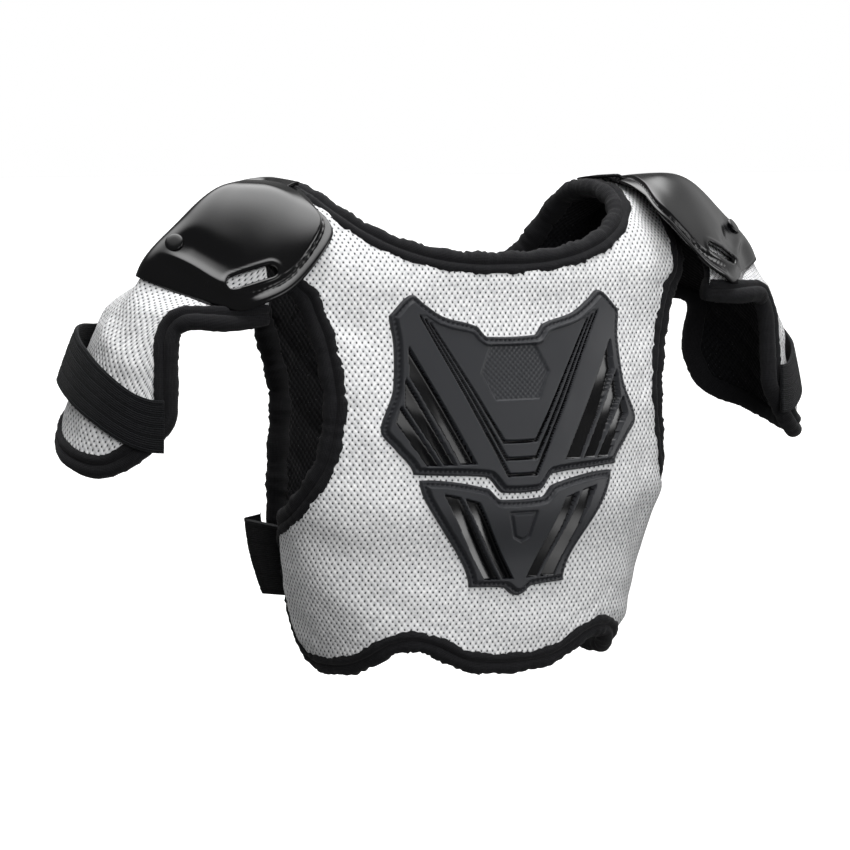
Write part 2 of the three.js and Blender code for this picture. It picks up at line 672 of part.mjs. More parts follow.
// The vent slot through the front of a cup, and the rivets that hold the cup to the sleeve
const SLOT_LONG = 32;
const SLOT_WIDE = 8;
const SLOT = { share: 0.9, direction: 69 * DEGREE, tilt: -14 * DEGREE };
const RIVETS = [{ share: 0.8, direction: 9 * DEGREE }, { share: 0.8, direction: -20 * DEGREE }];
const RIVET_HEAD = 5;
const RIVET_HIGH = 1.2;

// A frame on the cup's dome with its Z along the normal and its X round the rim
function onCup({ share, direction }) {
  const n = normalOf((a, b) => dome(a, b, 0), share, direction, -1);
  const round = new THREE.Vector3(Math.sin(direction), Math.cos(direction), 0);
  const up = n.clone().cross(round).normalize();
  round.copy(up).cross(n);
  return new THREE.Matrix4().makeBasis(round, up, n).setPosition(dome(share, direction, 0));
}

function toSolid(geometry) {
  const bare = geometry.clone();
  for (const name of ['normal', 'uv']) bare.deleteAttribute(name);
  const merged = mergeVertices(bare, 1e-4);
  return new wasm.Manifold(new wasm.Mesh({
    numProp: 3,
    vertProperties: merged.attributes.position.array,
    triVerts: new Uint32Array(merged.index.array),
  }));
}

function ventedCup() {
  const shape = new THREE.Shape();
  const straight = (SLOT_LONG - SLOT_WIDE) / 2;
  shape.absarc(straight, 0, SLOT_WIDE / 2, -Math.PI / 2, Math.PI / 2);
  shape.absarc(-straight, 0, SLOT_WIDE / 2, Math.PI / 2, Math.PI * 1.5);
  const deep = 8 * CUP_WALL; // well past both faces of the curved wall
  const cutter = new THREE.ExtrudeGeometry(shape, {
    depth: deep, bevelEnabled: false, curveSegments: 5,
  });
  cutter.translate(0, 0, -deep / 2).rotateZ(SLOT.tilt);
  cutter.applyMatrix4(onCup(SLOT));
  const cut = toSolid(cup()).subtract(toSolid(cutter)).getMesh();
  const geometry = new THREE.BufferGeometry();
  geometry.setAttribute('position', new THREE.Float32BufferAttribute(cut.vertProperties, 3));
  geometry.setIndex([...cut.triVerts]);
  return geometry;
}

// A rivet head seated square on the shell, off the highest place that is under it
function rivet(place, shell) {
  const head = new THREE.CylinderGeometry(0.7 * RIVET_HEAD, RIVET_HEAD, RIVET_HIGH, 14);
  head.rotateX(Math.PI / 2).translate(0, 0, RIVET_HIGH / 2);
  const frame = onCup(place);
  const target = new THREE.Mesh(shell);
  const into = new THREE.Vector3(0, 0, -1).transformDirection(frame);
  const heights = [];
  for (let a = 0; a < 2 * Math.PI; a += Math.PI / 12) {
    for (const share of [0, 0.5, 1]) {
      const reach = share * RIVET_HEAD;
      const from = new THREE.Vector3(reach * Math.cos(a), reach * Math.sin(a), CUP_REACH);
      const [hit] = new THREE.Raycaster(from.applyMatrix4(frame), into).intersectObject(target);
      heights.push(CUP_REACH - hit.distance);
    }
  }
  return head.translate(0, 0, Math.max(...heights) + GAP).applyMatrix4(frame);
}

const { edge, counts } = vestEdge();
const vestFrames = edgeFrames(edge, true, 1);
const corners = [0, counts[0] - 1, counts[0] + counts[1], counts[0] + counts[1] + counts[2] - 1];
const vestSection = bindingSection(BINDING_SEAT, VEST_GRIP);
const binding = (from, to) => strip(stretch(vestFrames, from, to), vestSection, false);
add('hem_binding_front', binding(corners[0], corners[1]), BINDING_TAPE);
add('armhole_binding_left', binding(corners[1], corners[2]), BINDING_TAPE);
add('hem_binding_back', binding(corners[2], corners[3]), BINDING_TAPE);
add('armhole_binding_right', binding(corners[3], edge.length), BINDING_TAPE);
add('neck_binding', strip(edgeFrames(neckEdge(), true, -1), vestSection, true), BINDING_TAPE);

const sleeve = sleeveGrid();
const sleeveWall = outward(wall(sleeve, -SLEEVE_PAD, 0, sleeveCell));
const sleeveBinding = strip(
  edgeFrames(sleeveEdge(sleeve), false, 1),
  bindingSection(SLEEVE_SEAT, SLEEVE_GRIP),
  false,
);

for (const [name, side] of [['left', 1], ['right', -1]]) {
  const hand = (geometry) => (side > 0 ? geometry : mirrored(geometry));
  // the arm swings about the top of the shoulder
  const pose = (mesh) => {
    const pivot = new THREE.Vector3(0, 0, CUP_TOP);
    const swing = new THREE.Euler(-side * ARM_PITCH * DEGREE, 0, 0);
    mesh.position.copy(pivot).sub(pivot.clone().applyEuler(swing));
    mesh.rotation.copy(swing);
  };
  const shell = ventedCup();
  add(`shoulder_cup_${name}`, hand(shell), GLOSSY_SHELL, pose);
  RIVETS.forEach((place, k) => {
    add(`cup_rivet_${name}_${k + 1}`, hand(rivet(place, shell)), GLOSSY_SHELL, pose);
  });
  add(`sleeve_${name}`, hand(sleeveWall), MESH_CLOTH, pose);
  add(`sleeve_binding_${name}`, hand(sleeveBinding), BINDING_TAPE, pose);
  add(`arm_strap_${name}`, hand(armStrap()), ELASTIC, pose);
  add(`side_strap_${name}`, hand(sideStrap()), ELASTIC);
}

export default group;
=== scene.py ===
# %% [markdown]
# # A child's roost deflector
# A roost deflector keeps stones off a young motocross rider. This one is a padded mesh vest
# with two moulded rubber plates on the chest, two hard shoulder cups and two open arm sleeves
# that elastic straps close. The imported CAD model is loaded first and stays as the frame: it
# says where every piece goes, in metres, with the chest towards -Y and +Z up. Each piece that
# is made here stands in the place of a CAD node and shows what the plain solid can't.

# %% Load the frame
import math

import bpy
import mathutils
import numpy as np
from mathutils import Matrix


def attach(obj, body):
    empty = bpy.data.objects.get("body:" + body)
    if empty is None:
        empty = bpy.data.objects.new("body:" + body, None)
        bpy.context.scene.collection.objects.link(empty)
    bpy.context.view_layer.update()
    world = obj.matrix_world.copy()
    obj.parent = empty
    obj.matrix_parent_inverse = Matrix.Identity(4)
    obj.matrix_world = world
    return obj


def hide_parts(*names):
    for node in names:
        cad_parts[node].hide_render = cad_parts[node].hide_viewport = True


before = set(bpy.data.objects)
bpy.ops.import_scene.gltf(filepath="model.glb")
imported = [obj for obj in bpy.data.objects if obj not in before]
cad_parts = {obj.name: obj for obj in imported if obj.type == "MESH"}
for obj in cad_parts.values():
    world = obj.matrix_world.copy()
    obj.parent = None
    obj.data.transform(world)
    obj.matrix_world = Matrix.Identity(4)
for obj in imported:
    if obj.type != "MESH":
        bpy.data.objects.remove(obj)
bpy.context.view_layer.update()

# %% [markdown]
# ## Sizes
# All the shapes are worked out in millimetres, as a pattern cutter would, and turned to metres
# when a mesh is made. The values are the CAD model's own, so a piece lies where its solid does.

# %% Sizes in millimetres
HEIGHT = 300.0
ARCH_Z = -54.9
CHEST_HALF = 133.0
FRONT_DEPTH = 108.0
BACK_DEPTH = 76.0
SHOULDER_HALF = 140.0
NECK_HALF = 115.0
PAD = 8.0
SLEEVE_PAD = 7.0
CUP_X = 150.0
CUP_Y = -30.0
CUP_TOP = 14.0
CUP_REACH = 76.0
CUP_WALL = 2.5
SLEEVE_START = 156.5
ARM_PITCH = math.radians(3.2)

# %% [markdown]
# ## Smooth tables
# A body shape is easiest to write as a short table: at this height, that width. The curve
# through the rows must not overshoot, or the hem would wave, so its slope at a row is the
# harmonic mean of the slopes on either side.

# %% A smooth curve through a table
def track(table, key, column=1):
    """Between two rows a cubic runs whose end slopes are the harmonic means of the neighbouring
    slopes, and level at the first row, the last row and every turning point."""
    rows = np.asarray(table, float)
    places, values = rows[:, 0], rows[:, column]
    steps = np.diff(values) / np.diff(places)
    slopes = np.zeros(len(places))
    same = steps[:-1] * steps[1:] > 0
    total = np.where(same, steps[:-1] + steps[1:], 1.0)
    slopes[1:-1] = np.where(same, 2 * steps[:-1] * steps[1:] / total, 0.0)
    key = np.clip(key, places[0], places[-1])
    row = np.clip(np.searchsorted(places, key, side="right") - 1, 0, len(places) - 2)
    span = places[row + 1] - places[row]
    t = (key - places[row]) / span
    ends = (2 * t**3 - 3 * t**2 + 1) * values[row] + (3 * t**2 - 2 * t**3) * values[row + 1]
    bend = (t**3 - 2 * t**2 + t) * slopes[row] + (t**3 - t**2) * slopes[row + 1]
    return ends + span * bend


def power(value, exponent):
    """The sign of a value times its size raised to an exponent, as superellipses need."""
    return np.sign(value) * np.abs(value) ** exponent


def smooth_step(low, high, value):
    """0 below low, 1 above high, and an S curve between them."""
    t = np.clip((value - low) / (high - low), 0, 1)
    return t * t * (3 - 2 * t)


def unit(vectors):
    """Vectors at length 1."""
    size = np.linalg.norm(vectors, axis=-1, keepdims=True)
    return vectors / np.maximum(size, 1e-9)


def bell(value, middle, width):
    """A bell curve of height 1."""
    return np.exp(-((value - middle) / width) ** 2)


def run_up(steps):
    """Lengths along a line from its start, where the steps between its points are given."""
    return np.concatenate([[0], np.cumsum(steps)])


def arc_lengths(points, start):
    """Lengths along each row from the column `start`, and along each column from row 0."""
    across = np.linalg.norm(np.diff(points, axis=1), axis=-1)
    u = np.hstack([np.zeros((len(points), 1)), np.cumsum(across, axis=1)])
    down = np.linalg.norm(np.diff(points, axis=0), axis=-1)
    v = np.vstack([np.zeros((1, points.shape[1])), np.cumsum(down, axis=0)])
    return u - u[:, start:start + 1], v


print("half way up a ramp:", float(track([[0, 0], [1, 2]], 0.5)))

# %% [markdown]
# ## Nets of quads
# Every surface here is a net: rows and columns of points, and a quad in each cell. A cloth
# panel needs two such skins and a wall round its edge, so one function closes a net into a
# shell wherever a quad has no neighbour.

# %% Nets, shells and meshes
def net(rows, columns, keep=None, looped=False):
    """The quads of a net as indices, row by row. `keep` is a mask of cells, and a looped net
    joins its last column to its first."""
    index = np.arange(rows * columns).reshape(rows, columns)
    if looped:
        index = np.hstack([index, index[:, :1]])
    quads = np.stack([index[:-1, :-1], index[:-1, 1:], index[1:, 1:], index[1:, :-1]], axis=-1)
    return quads[keep] if keep is not None else quads.reshape(-1, 4)


def shell(outer, inner, quads):
    """Two skins with the same quads, the inner one turned round, and a wall quad along each
    edge that belongs to one quad only."""
    count = len(outer)
    edges = np.stack([quads, np.roll(quads, -1, axis=1)], axis=2).reshape(-1, 2)
    _, first, uses = np.unique(np.sort(edges, axis=1), axis=0, return_index=True,
                               return_counts=True)
    rim = edges[first[uses == 1]]
    wall = np.stack([rim[:, 1], rim[:, 0], rim[:, 0] + count, rim[:, 1] + count], axis=1)
    return np.vstack([outer, inner]), np.vstack([quads, quads[:, ::-1] + count, wall])


def welded(points, quads, extra=None):
    """The same net with points that lie within a hundredth of a millimetre made one. A quad that
    lost one side stays, as a triangle, and one that lost two is left out."""
    _, first, same = np.unique(np.round(points * 100).astype(np.int64), axis=0,
                               return_index=True, return_inverse=True)
    quads = same.reshape(-1)[quads]
    sound = (np.diff(np.sort(quads, axis=1), axis=1) != 0).sum(axis=1) >= 2
    return points[first], quads[sound], None if extra is None else extra[first]


def add_object(name, data):
    """A new object in the scene that shows a mesh, a light or a camera."""
    thing = bpy.data.objects.new(name, data)
    bpy.context.scene.collection.objects.link(thing)
    return thing


def make(name, points, faces, materials, uv=None, face_material=None):
    """A mesh object from points in millimetres. UV coordinates are in metres on the cloth, one
    pair for each point or one for each face corner."""
    mesh = bpy.data.meshes.new(name)
    faces = [list(dict.fromkeys(map(int, face))) for face in faces]
    mesh.from_pydata(np.asarray(points) / 1000, [], faces)
    mesh.polygons.foreach_set("use_smooth", np.ones(len(mesh.polygons), bool))
    for material in materials:
        mesh.materials.append(material)
    if face_material is not None:
        mesh.polygons.foreach_set("material_index", np.asarray(face_material, np.int32))
    if uv is not None:
        corners = np.empty(len(mesh.loops), np.int32)
        mesh.loops.foreach_get("vertex_index", corners)
        uv = np.asarray(uv)
        uv = uv if len(uv) == len(corners) else uv[corners]
        layer = mesh.uv_layers.new(name="cloth")
        layer.data.foreach_set("uv", (uv / 1000).ravel())
    mesh.update()
    piece = add_object(name, mesh)
    print(f"{name}: {len(mesh.vertices)} points, {len(mesh.polygons)} faces")
    return piece


def place(piece, slot, *nodes):
    """The piece stands for its CAD nodes, which are hidden, and moves with the object. `slot` is
    not used.
    """
    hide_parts(*nodes)
    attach(piece, "root")


# %% [markdown]
# ## Materials
# The light cloth is polyester spacer mesh: two knitted faces held apart by upright yarns, with
# staggered rows of small open holes. Holes are 3.9 mm apart, in rows 2.6 mm apart. The product
# of two cosines peaks on just such a staggered grid, so it draws the holes with no picture.

# %% Helpers for materials
def linear(hex_colour):
    """An sRGB hex colour as linear light, with an opaque fourth value."""
    values = np.array([int(hex_colour[i:i + 2], 16) for i in (1, 3, 5)]) / 255
    light = np.where(values <= 0.04045, values / 12.92, ((values + 0.055) / 1.055) ** 2.4)
    return (*light.tolist(), 1.0)


def add_node(tree, kind, inputs=(), **settings):
    """Adds a node with its settings. An input that is a socket is linked, others are typed in."""
    node = tree.nodes.new(kind)
    for key, value in settings.items():
        setattr(node, key, value)
    for key, value in dict(inputs).items():
        if isinstance(value, bpy.types.NodeSocket):
            tree.links.new(value, node.inputs[key])
        else:
            node.inputs[key].default_value = value
    return node


def maths(tree, operation, *values):
    """The result of a Math node on sockets or numbers."""
    inputs = dict(enumerate(values))
    return add_node(tree, "ShaderNodeMath", inputs, operation=operation).outputs[0]


def vector_maths(tree, operation, inputs):
    """A Vector Math node."""
    return add_node(tree, "ShaderNodeVectorMath", inputs, operation=operation)


def remap(tree, value, low, high, *ends, **settings):
    """A value moved from one range to another, which is 0 to 1 where no ends are given."""
    inputs = dict(enumerate((value, low, high, *ends)))
    return add_node(tree, "ShaderNodeMapRange", inputs, **settings).outputs[0]


def noise(tree, place_in, scale, detail, output="Fac", **more):
    """A noise texture's value, or its colour."""
    inputs = {"Vector": place_in, "Scale": scale, "Detail": detail, **more}
    return add_node(tree, "ShaderNodeTexNoise", inputs).outputs[output]


def mixed(tree, factor, one, two):
    """The colour between two colours, by a factor that varies over the surface."""
    inputs = {"Factor": factor, 6: one, 7: two}
    return add_node(tree, "ShaderNodeMix", inputs, data_type="RGBA").outputs[2]


def waves(tree, place_in, operation, pitches):
    """A sine or cosine across and another up, each of its own pitch in metres."""
    axes = add_node(tree, "ShaderNodeSeparateXYZ", {0: place_in})
    turns = [maths(tree, "MULTIPLY", axes.outputs[axis], 2 * math.pi / pitch)
             for axis, pitch in zip("XY", pitches)]
    return [maths(tree, operation, turn) for turn in turns]


def new_material(name, **sockets):
    """A material with a Principled BSDF whose constant sockets are typed in directly."""
    material = bpy.data.materials.new(name)
    material.use_nodes = True
    shader = material.node_tree.nodes["Principled BSDF"]
    for key, value in sockets.items():
        shader.inputs[key.replace("_", " ")].default_value = value
    return material, material.node_tree, shader


def new_cloth(name, **sockets):
    """A dull cloth material with the cloth coordinates that its pattern is drawn in."""
    material, tree, shader = new_material(name, Specular_IOR_Level=0.2, **sockets)
    return material, tree, shader, add_node(tree, "ShaderNodeUVMap", uv_map="cloth").outputs["UV"]


def bumped(tree, shader, height, strength, distance):
    """Links a height to the shader's normal as bump."""
    bump = add_node(tree, "ShaderNodeBump", {"Strength": strength, "Distance": distance,
                                             "Height": height})
    tree.links.new(bump.outputs[0], shader.inputs["Normal"])


# %% Polyester spacer mesh
HOLE_PITCH = 0.0039
ROW_PITCH = 0.0026
WANDER = 0.0016


def spacer_mesh(name, *colours):
    """Knitted spacer mesh. Holes sit where the product of a cosine across and a cosine up is
    high, and the raised yarns where it is low. The colour follows that height: the yarn is
    painted greyer as it falls towards the holes, and the holes are painted near-black. This is
    painted shade in the knit's hollows. Its tone also varies at random, and sparse specks of yarn
    catch the light as painted glints."""
    yarn, shade, hole_shade, glint = map(linear, colours)
    material, tree, shader, cloth = new_cloth(name, Roughness=0.85, Sheen_Weight=0.06,
                                              Sheen_Roughness=0.5)
    drift = vector_maths(tree, "SUBTRACT", {0: noise(tree, cloth, 55.0, 2.0, "Color"),
                                            1: (0.5, 0.5, 0.5)})
    drift = vector_maths(tree, "SCALE", {0: drift.outputs[0], "Scale": WANDER})
    moved = vector_maths(tree, "ADD", {0: cloth, 1: drift.outputs[0]}).outputs[0]
    grid = maths(tree, "MULTIPLY", *waves(tree, moved, "COSINE", (HOLE_PITCH, 2 * ROW_PITCH)))
    fine = noise(tree, cloth, 900.0, 3.0)
    height = maths(tree, "ADD", grid, maths(tree, "MULTIPLY_ADD", fine, 0.6, -0.3))
    mottle = remap(tree, noise(tree, cloth, 260.0, 2.0, Roughness=0.7), 0.4, 0.75)
    colour = mixed(tree, mottle, yarn, shade)
    # Painted shade: the yarn turns greyer as the height falls towards each hole.
    colour = mixed(tree, remap(tree, height, -0.6, 0.9), colour, shade)
    colour = mixed(tree, remap(tree, fine, 0.66, 0.78), colour, glint)
    # Painted shade: the holes themselves are painted near-black.
    colour = mixed(tree, remap(tree, height, 0.58, 0.84), colour, hole_shade)
    tree.links.new(colour, shader.inputs["Base Color"])
    bumped(tree, shader, maths(tree, "MULTIPLY", height, -1.0), 0.5, 0.0005)
    return material


# Nearly white knitted polyester, dull and slightly fuzzy, with its holes painted near-black as
# painted shade.
MESH_CLOTH = spacer_mesh("polyester_spacer_mesh", "#F6F6F6", "#C6C7C9", "#121214", "#F8F8F8")
# The lining is the same knit in black, with painted shade in its holes and grey painted glints
# where its yarns catch the light.
LINING = spacer_mesh("black_spacer_lining", "#18181A", "#0D0D0F", "#030303", "#77787A")


# %% [markdown]
# The edges are bound with woven polyester tape and the straps are ribbed knitted elastic. Both
# are matte black, so what the eye sees is mostly their ribs: fine across the tape, and long
# cords with crossing weft in the elastic.

# %% Woven tape and ribbed elastic
def ribbed(name, dark, light, across, along, strength):
    """Ribs of a given pitch across the piece and a finer weave along it, both as waves of the
    cloth coordinates, roughened by noise. The colour follows that height from dark to light. This
    paints shade between the ribs and a highlight on their tops."""
    material, tree, shader, cloth = new_cloth(name, Roughness=0.88, Sheen_Weight=0.04,
                                              Sheen_Roughness=0.4)
    one, two = waves(tree, cloth, "SINE", (along, across))
    weave = maths(tree, "MULTIPLY_ADD", one, 0.35, two)
    height = maths(tree, "MULTIPLY_ADD", noise(tree, cloth, 700.0, 4.0), 1.6, weave)
    # Painted shade and highlight: darker where the ribs and fibres lie low, lighter where they
    # stand high.
    colour = mixed(tree, remap(tree, height, -0.6, 2.2), linear(dark), linear(light))
    tree.links.new(colour, shader.inputs["Base Color"])
    bumped(tree, shader, height, strength, 0.0004)
    return material


# Woven polyester binding tape, with ribs 0.9 mm apart.
TAPE = ribbed("woven_binding_tape", "#0C0C0D", "#232325", 0.0009, 0.0011, 0.35)
# Knitted elastic: rubber cords 1.3 mm apart run along it under a polyester cover.
ELASTIC = ribbed("ribbed_elastic", "#09090A", "#1C1D1F", 0.0013, 0.0010, 0.6)


# %% [markdown]
# The plates are moulded from thermoplastic rubber, finely matte from a spark-eroded mould, with
# polished louvres. The cups are polished polypropylene shells. Small grain and faint handling
# marks in the roughness keep both from looking like drawings.

# %% Moulded rubber and polished shell
def moulded(name, colour, roughness, spread, grain, relief, **sockets):
    """A moulded polymer: noise at the size of the mould's grain lifts the surface, and a slower
    noise moves the roughness up and down by `spread`."""
    material, tree, shader = new_material(name, Base_Color=linear(colour), **sockets)
    spot = add_node(tree, "ShaderNodeTexCoord").outputs["Object"]
    rough = remap(tree, noise(tree, spot, 40.0, 5.0), 0.3, 0.7, roughness - spread,
                  roughness + spread)
    tree.links.new(rough, shader.inputs["Roughness"])
    bumped(tree, shader, noise(tree, spot, 1 / grain, 3.0), 0.4, relief)
    return material


# Charcoal thermoplastic rubber with a fine matte mould grain.
RUBBER = moulded("matte_moulded_rubber", "#222326", 0.5, 0.05, 0.0004, 0.00008, IOR=1.5,
                 Specular_IOR_Level=0.4)
# The same rubber where the mould was polished: the louvres and the floors of the grooves.
POLISHED = moulded("polished_rubber", "#050506", 0.22, 0.04, 0.004, 0.00003, IOR=1.5)
# Injection-moulded polypropylene with a high polish and faint waves from the moulding.
SHELL = moulded("polished_polypropylene", "#030304", 0.17, 0.03, 0.012, 0.00006, IOR=1.49)

# %% [markdown]
# ## The vest's shape
# Each level section of the torso is a superellipse, squarer than an ellipse, and the shoulders
# are arches: going up, the depth shrinks as a cosine while the height grows as a sine.

# %% The vest's outer skin
ROUND = 2 / 2.5
SIDE_CURL = 180.0  # how fast a panel that runs past the side curls inward
SHOULDER_SLOPE = 0.12  # the shoulder's fall away from the neck
ARCH_POWER = 0.9
REST_X = (SHOULDER_HALF + NECK_HALF) / 2
SECTIONS = {
    "front": [[-1, 0.76, 0.74, 0.167], [-0.878, 0.85, 0.75, 0.185],
              [-0.694, 0.94, 0.694, 0.25], [-0.535, 1, 0.63, 0.361],
              [-0.306, 1.09, 0.602, 0.333], [0, 1.24, 0.556, 0.278]],
    "back": [[-1, 0.78, 0.93, 0], [-0.694, 0.94, 0.97, 0], [-0.306, 1.02, 0.99, 0],
             [0, 1.22, 0.92, 0]],
}
FACING = {"front": -1, "back": 1}
DEPTH = {"front": FRONT_DEPTH, "back": BACK_DEPTH}


def vest(side, turn, level):
    """Half width times sine, and centre plus depth times cosine, each to the superellipse's
    power, give the section. Above level 0 the depth follows a cosine and the height a sine."""
    low = np.minimum(level, 0)
    arch = np.maximum(level, 0) * math.pi / 2
    past = np.maximum(np.abs(turn) - math.pi / 2, 0)
    table = SECTIONS[side]
    x = track(table, low, 1) * CHEST_HALF * power(np.sin(turn), ROUND)
    x = x - np.sign(turn) * SIDE_CURL * past**2
    section = track(table, low, 3) + track(table, low, 2) * power(np.cos(turn), ROUND)
    y = FACING[side] * DEPTH[side] * section * np.cos(arch) ** ARCH_POWER
    top = PAD - SHOULDER_SLOPE * (np.abs(x) - REST_X)
    z = np.where(level > 0, ARCH_Z + (top - ARCH_Z) * np.sin(arch),
                 ARCH_Z + low * (HEIGHT + ARCH_Z))
    return np.stack([x, y, z], axis=-1)


def normals(surface, a, b, flip=1.0, step=1e-3):
    """The cross product of the surface's slopes along its two parameters, at length 1."""
    one = surface(a + step, b) - surface(a - step, b)
    two = surface(a, b + step) - surface(a, b - step)
    return unit(np.cross(one, two)) * flip


def turn_at(side, x, level):
    """The turn at which a section reaches the half width x."""
    reach = track(SECTIONS[side], np.minimum(level, 0), 1) * CHEST_HALF
    return np.arcsin(np.minimum(1, (np.abs(x) / reach) ** (1 / ROUND)))


print("chest at mid height:", vest("front", np.array(0.0), np.array(-0.5)).round(1), "mm")

# %% [markdown]
# ## Front and back panels
# The pattern pieces run from the centre line to the armhole edge, and above the neckline from
# the neck edge outward. Cloth coordinates are arc lengths in millimetres, so the knit keeps its
# real size all over.

# %% The panels' outlines
NECK_LOW = {"front": 0.105, "back": -0.1}
NECK_ROUND = {"front": 0.44, "back": 0.27}
SIDE_EDGE = {
    "front": [[-1, 1.07], [-0.9, 1.11], [-0.72, 1.12], [-0.64, 1.05], [-0.59, 0.93],
              [-0.535, 0.79], [-0.45, 0.63], [-0.36, 0.555], [-0.26, 0.505],
              [-0.12, 0.482], [-0.02, 0.51], [0.08, 0.58]],
    "back": [[-1, 0.33], [-0.85, 0.42], [-0.7, 0.46], [-0.5, 0.43], [-0.3, 0.38],
             [-0.1, 0.38], [0.08, 0.47]],
}
HEM_RISE = {
    "front": [[0, 0.042], [0.19, 0.05], [0.3, 0.068], [0.41, 0.09], [0.55, 0.101],
              [0.71, 0.093], [0.94, 0.06], [1.21, 0.037], [1.5, 0.03], [1.62, 0.04],
              [1.7, 0.08]],
    "back": [[0, 0.04], [0.25, 0.06], [0.4, 0.07], [0.48, 0.09], [0.55, 0.13]],
}
for side_name, edge_table in SIDE_EDGE.items():
    pad_turn = float(turn_at(side_name, SHOULDER_HALF, 0.0)) / (math.pi / 2)
    edge_table.extend([[0.3, pad_turn], [1, pad_turn]])

BODY_ROWS = 84
NECK_ROWS = 40
HALF_COLUMNS = 52


def neck_half(side, level):
    """Half width of the neck opening: quick at first, then nearly upright."""
    rise = np.clip((level - NECK_LOW[side]) / (1 - NECK_LOW[side]), 0, 1)
    return NECK_HALF * (1 - (1 - rise) ** 3) ** NECK_ROUND[side]


def half_panel(side):
    """Turn and level of each net point. Body rows start on the centre line, and neck rows on
    the neck edge. The hem's rise fades with the cube of the way up."""
    low = NECK_LOW[side]
    across = np.linspace(0, 1, HALF_COLUMNS + 1)[None, :]
    up = np.linspace(0, 1, BODY_ROWS + 1)[:, None]
    level = -1 + up * (1 + low)
    turn = track(SIDE_EDGE[side], level) * math.pi / 2 * across
    rise = track(HEM_RISE[side], turn) * HEIGHT / (HEIGHT + ARCH_Z)
    body = (turn, level + rise * (1 - up) ** 3)
    high = low + (1 - low) * np.linspace(0, 1, NECK_ROWS + 1)[1:, None] ** 2.2
    inner = turn_at(side, neck_half(side, high), high)
    outer = track(SIDE_EDGE[side], high) * math.pi / 2
    neck = (inner + (outer - inner) * across, np.minimum(high, 1 - 2e-3) + 0 * across)
    return np.vstack([body[0], neck[0]]), np.vstack([body[1], neck[1]])


def panel_net(side):
    """Both halves of a panel: turn, level, skin and outward normal of each net point."""
    turn, level = half_panel(side)
    turn, level = np.hstack([-turn[:, ::-1], turn]), np.hstack([level[:, ::-1], level])
    flip = 1.0 if side == "front" else -1.0
    skin = vest(side, turn, level)
    return turn, level, skin, normals(lambda a, b: vest(side, a, b), turn, level, flip)


PANELS = {side: panel_net(side) for side in ("front", "back")}
print("panel net:", PANELS["front"][0].shape)

# %% Soft folds and cloth coordinates
def wrinkles(seed, u, v, pitch, stretch=1.0):
    """A sum of twelve cosine waves whose directions and phases come from a seed, with a mean
    wavelength of `pitch` millimetres. It stays between about -1 and 1."""
    random = np.random.default_rng(seed)
    total = np.zeros_like(u)
    for _ in range(12):
        angle = random.uniform(0, math.pi)
        wave = 2 * math.pi / (pitch * random.uniform(0.7, 1.5))
        along = np.cos(angle) * u * stretch + np.sin(angle) * v
        total += np.cos(wave * along + random.uniform(0, 2 * math.pi))
    return total / 5


def quilted(u, v, pitch, deep):
    """Diamond quilting: a swell of some depth between two crossing sets of seams."""
    swell = np.abs(np.sin(math.pi * (u + v) / pitch) * np.sin(math.pi * (u - v) / pitch)) ** 0.5
    return deep * swell - deep / 2


def length_to(surface, steps=24):
    """Length of a curve given as a function of a share from 0 to 1, for all points at once."""
    places = [surface(k / steps) for k in range(steps + 1)]
    return sum(np.linalg.norm(b - a, axis=-1) for a, b in zip(places, places[1:]))


def cloth_places(side, turn, level):
    """Across: the length of the level section from the centre line. Up: the height below the
    shoulder arch, and the arch's own length above its foot."""
    u = np.sign(turn) * length_to(lambda share: vest(side, turn * share, level))
    high = np.maximum(level, 0)
    v = length_to(lambda share: vest(side, turn, high * share), 12)
    return u, v + vest(side, turn, np.minimum(level, 0))[..., 2]


def cells_in(shape, row, column):
    """How many cells each net point lies from the border, where the net is slit down its
    middle columns above a row."""
    j = np.arange(shape[0])[:, None] + np.zeros((1, shape[1]))
    i = np.abs(np.arange(shape[1])[None, :] - (shape[1] - 1) / 2) + np.zeros((shape[0], 1))
    beside = np.where(j > row, i, 1e3)
    above = np.where(i < column, row - j, 1e3)
    return np.minimum.reduce([j, (shape[1] - 1) / 2 - i, beside, np.maximum(above, 0)])


# %% Panels as shells
PANEL_QUILT = 36
FOLD, FOLD_PITCH = 2.0, 52.0
RIPPLE, RIPPLE_PITCH = 0.9, 24.0
GATHER, GATHER_PITCH = 0.5, 9.0  # beside the binding
FOLD_SEED = {"front": 7, "back": 8}


def panel(side):
    """Outer skin at the vest's surface and a lining one pad deeper. Low folds move both, more
    in the slack cloth under the arms and least beneath the chest plates, and the lining is
    quilted in diamonds."""
    turn, level, skin, normal = PANELS[side]
    columns = turn.shape[1]
    u, v = cloth_places(side, turn, level)
    x, z = skin[..., 0], skin[..., 2]
    border = cells_in(turn.shape, BODY_ROWS, 2)
    near = smooth_step(0, 6, border)
    slack = 0.45 + smooth_step(60, 110, np.abs(x)) * 0.55
    if side == "front":
        beneath = smooth_step(1.12, 0.9, np.abs(x) / 92) * smooth_step(-246, -236, z)
        slack = slack * (1 - beneath * smooth_step(-54, -66, z))
    fold = wrinkles(FOLD_SEED[side], u, v, FOLD_PITCH, 0.8) * FOLD
    fold = fold + wrinkles(17, u, v, RIPPLE_PITCH, 0.7) * RIPPLE
    gathered = smooth_step(0, 2, border) * smooth_step(14, 3, border)
    lift = near * slack * fold + GATHER * gathered * wrinkles(23, u, v, GATHER_PITCH)
    inner_lift = near * quilted(u, v, PANEL_QUILT, 1.8)
    outer = skin + normal * lift[..., None]
    inner = skin - normal * (PAD + inner_lift - 0.5 * lift)[..., None]
    keep = np.ones((turn.shape[0] - 1, columns - 1), bool)
    keep[BODY_ROWS:, columns // 2 - 1] = False  # the neck opening
    quads = net(*turn.shape, keep)
    if side == "back":
        quads = quads[:, ::-1]
    points = np.vstack([outer.reshape(-1, 3), inner.reshape(-1, 3)])
    return points, quads, np.stack([u, v], axis=-1).reshape(-1, 2)


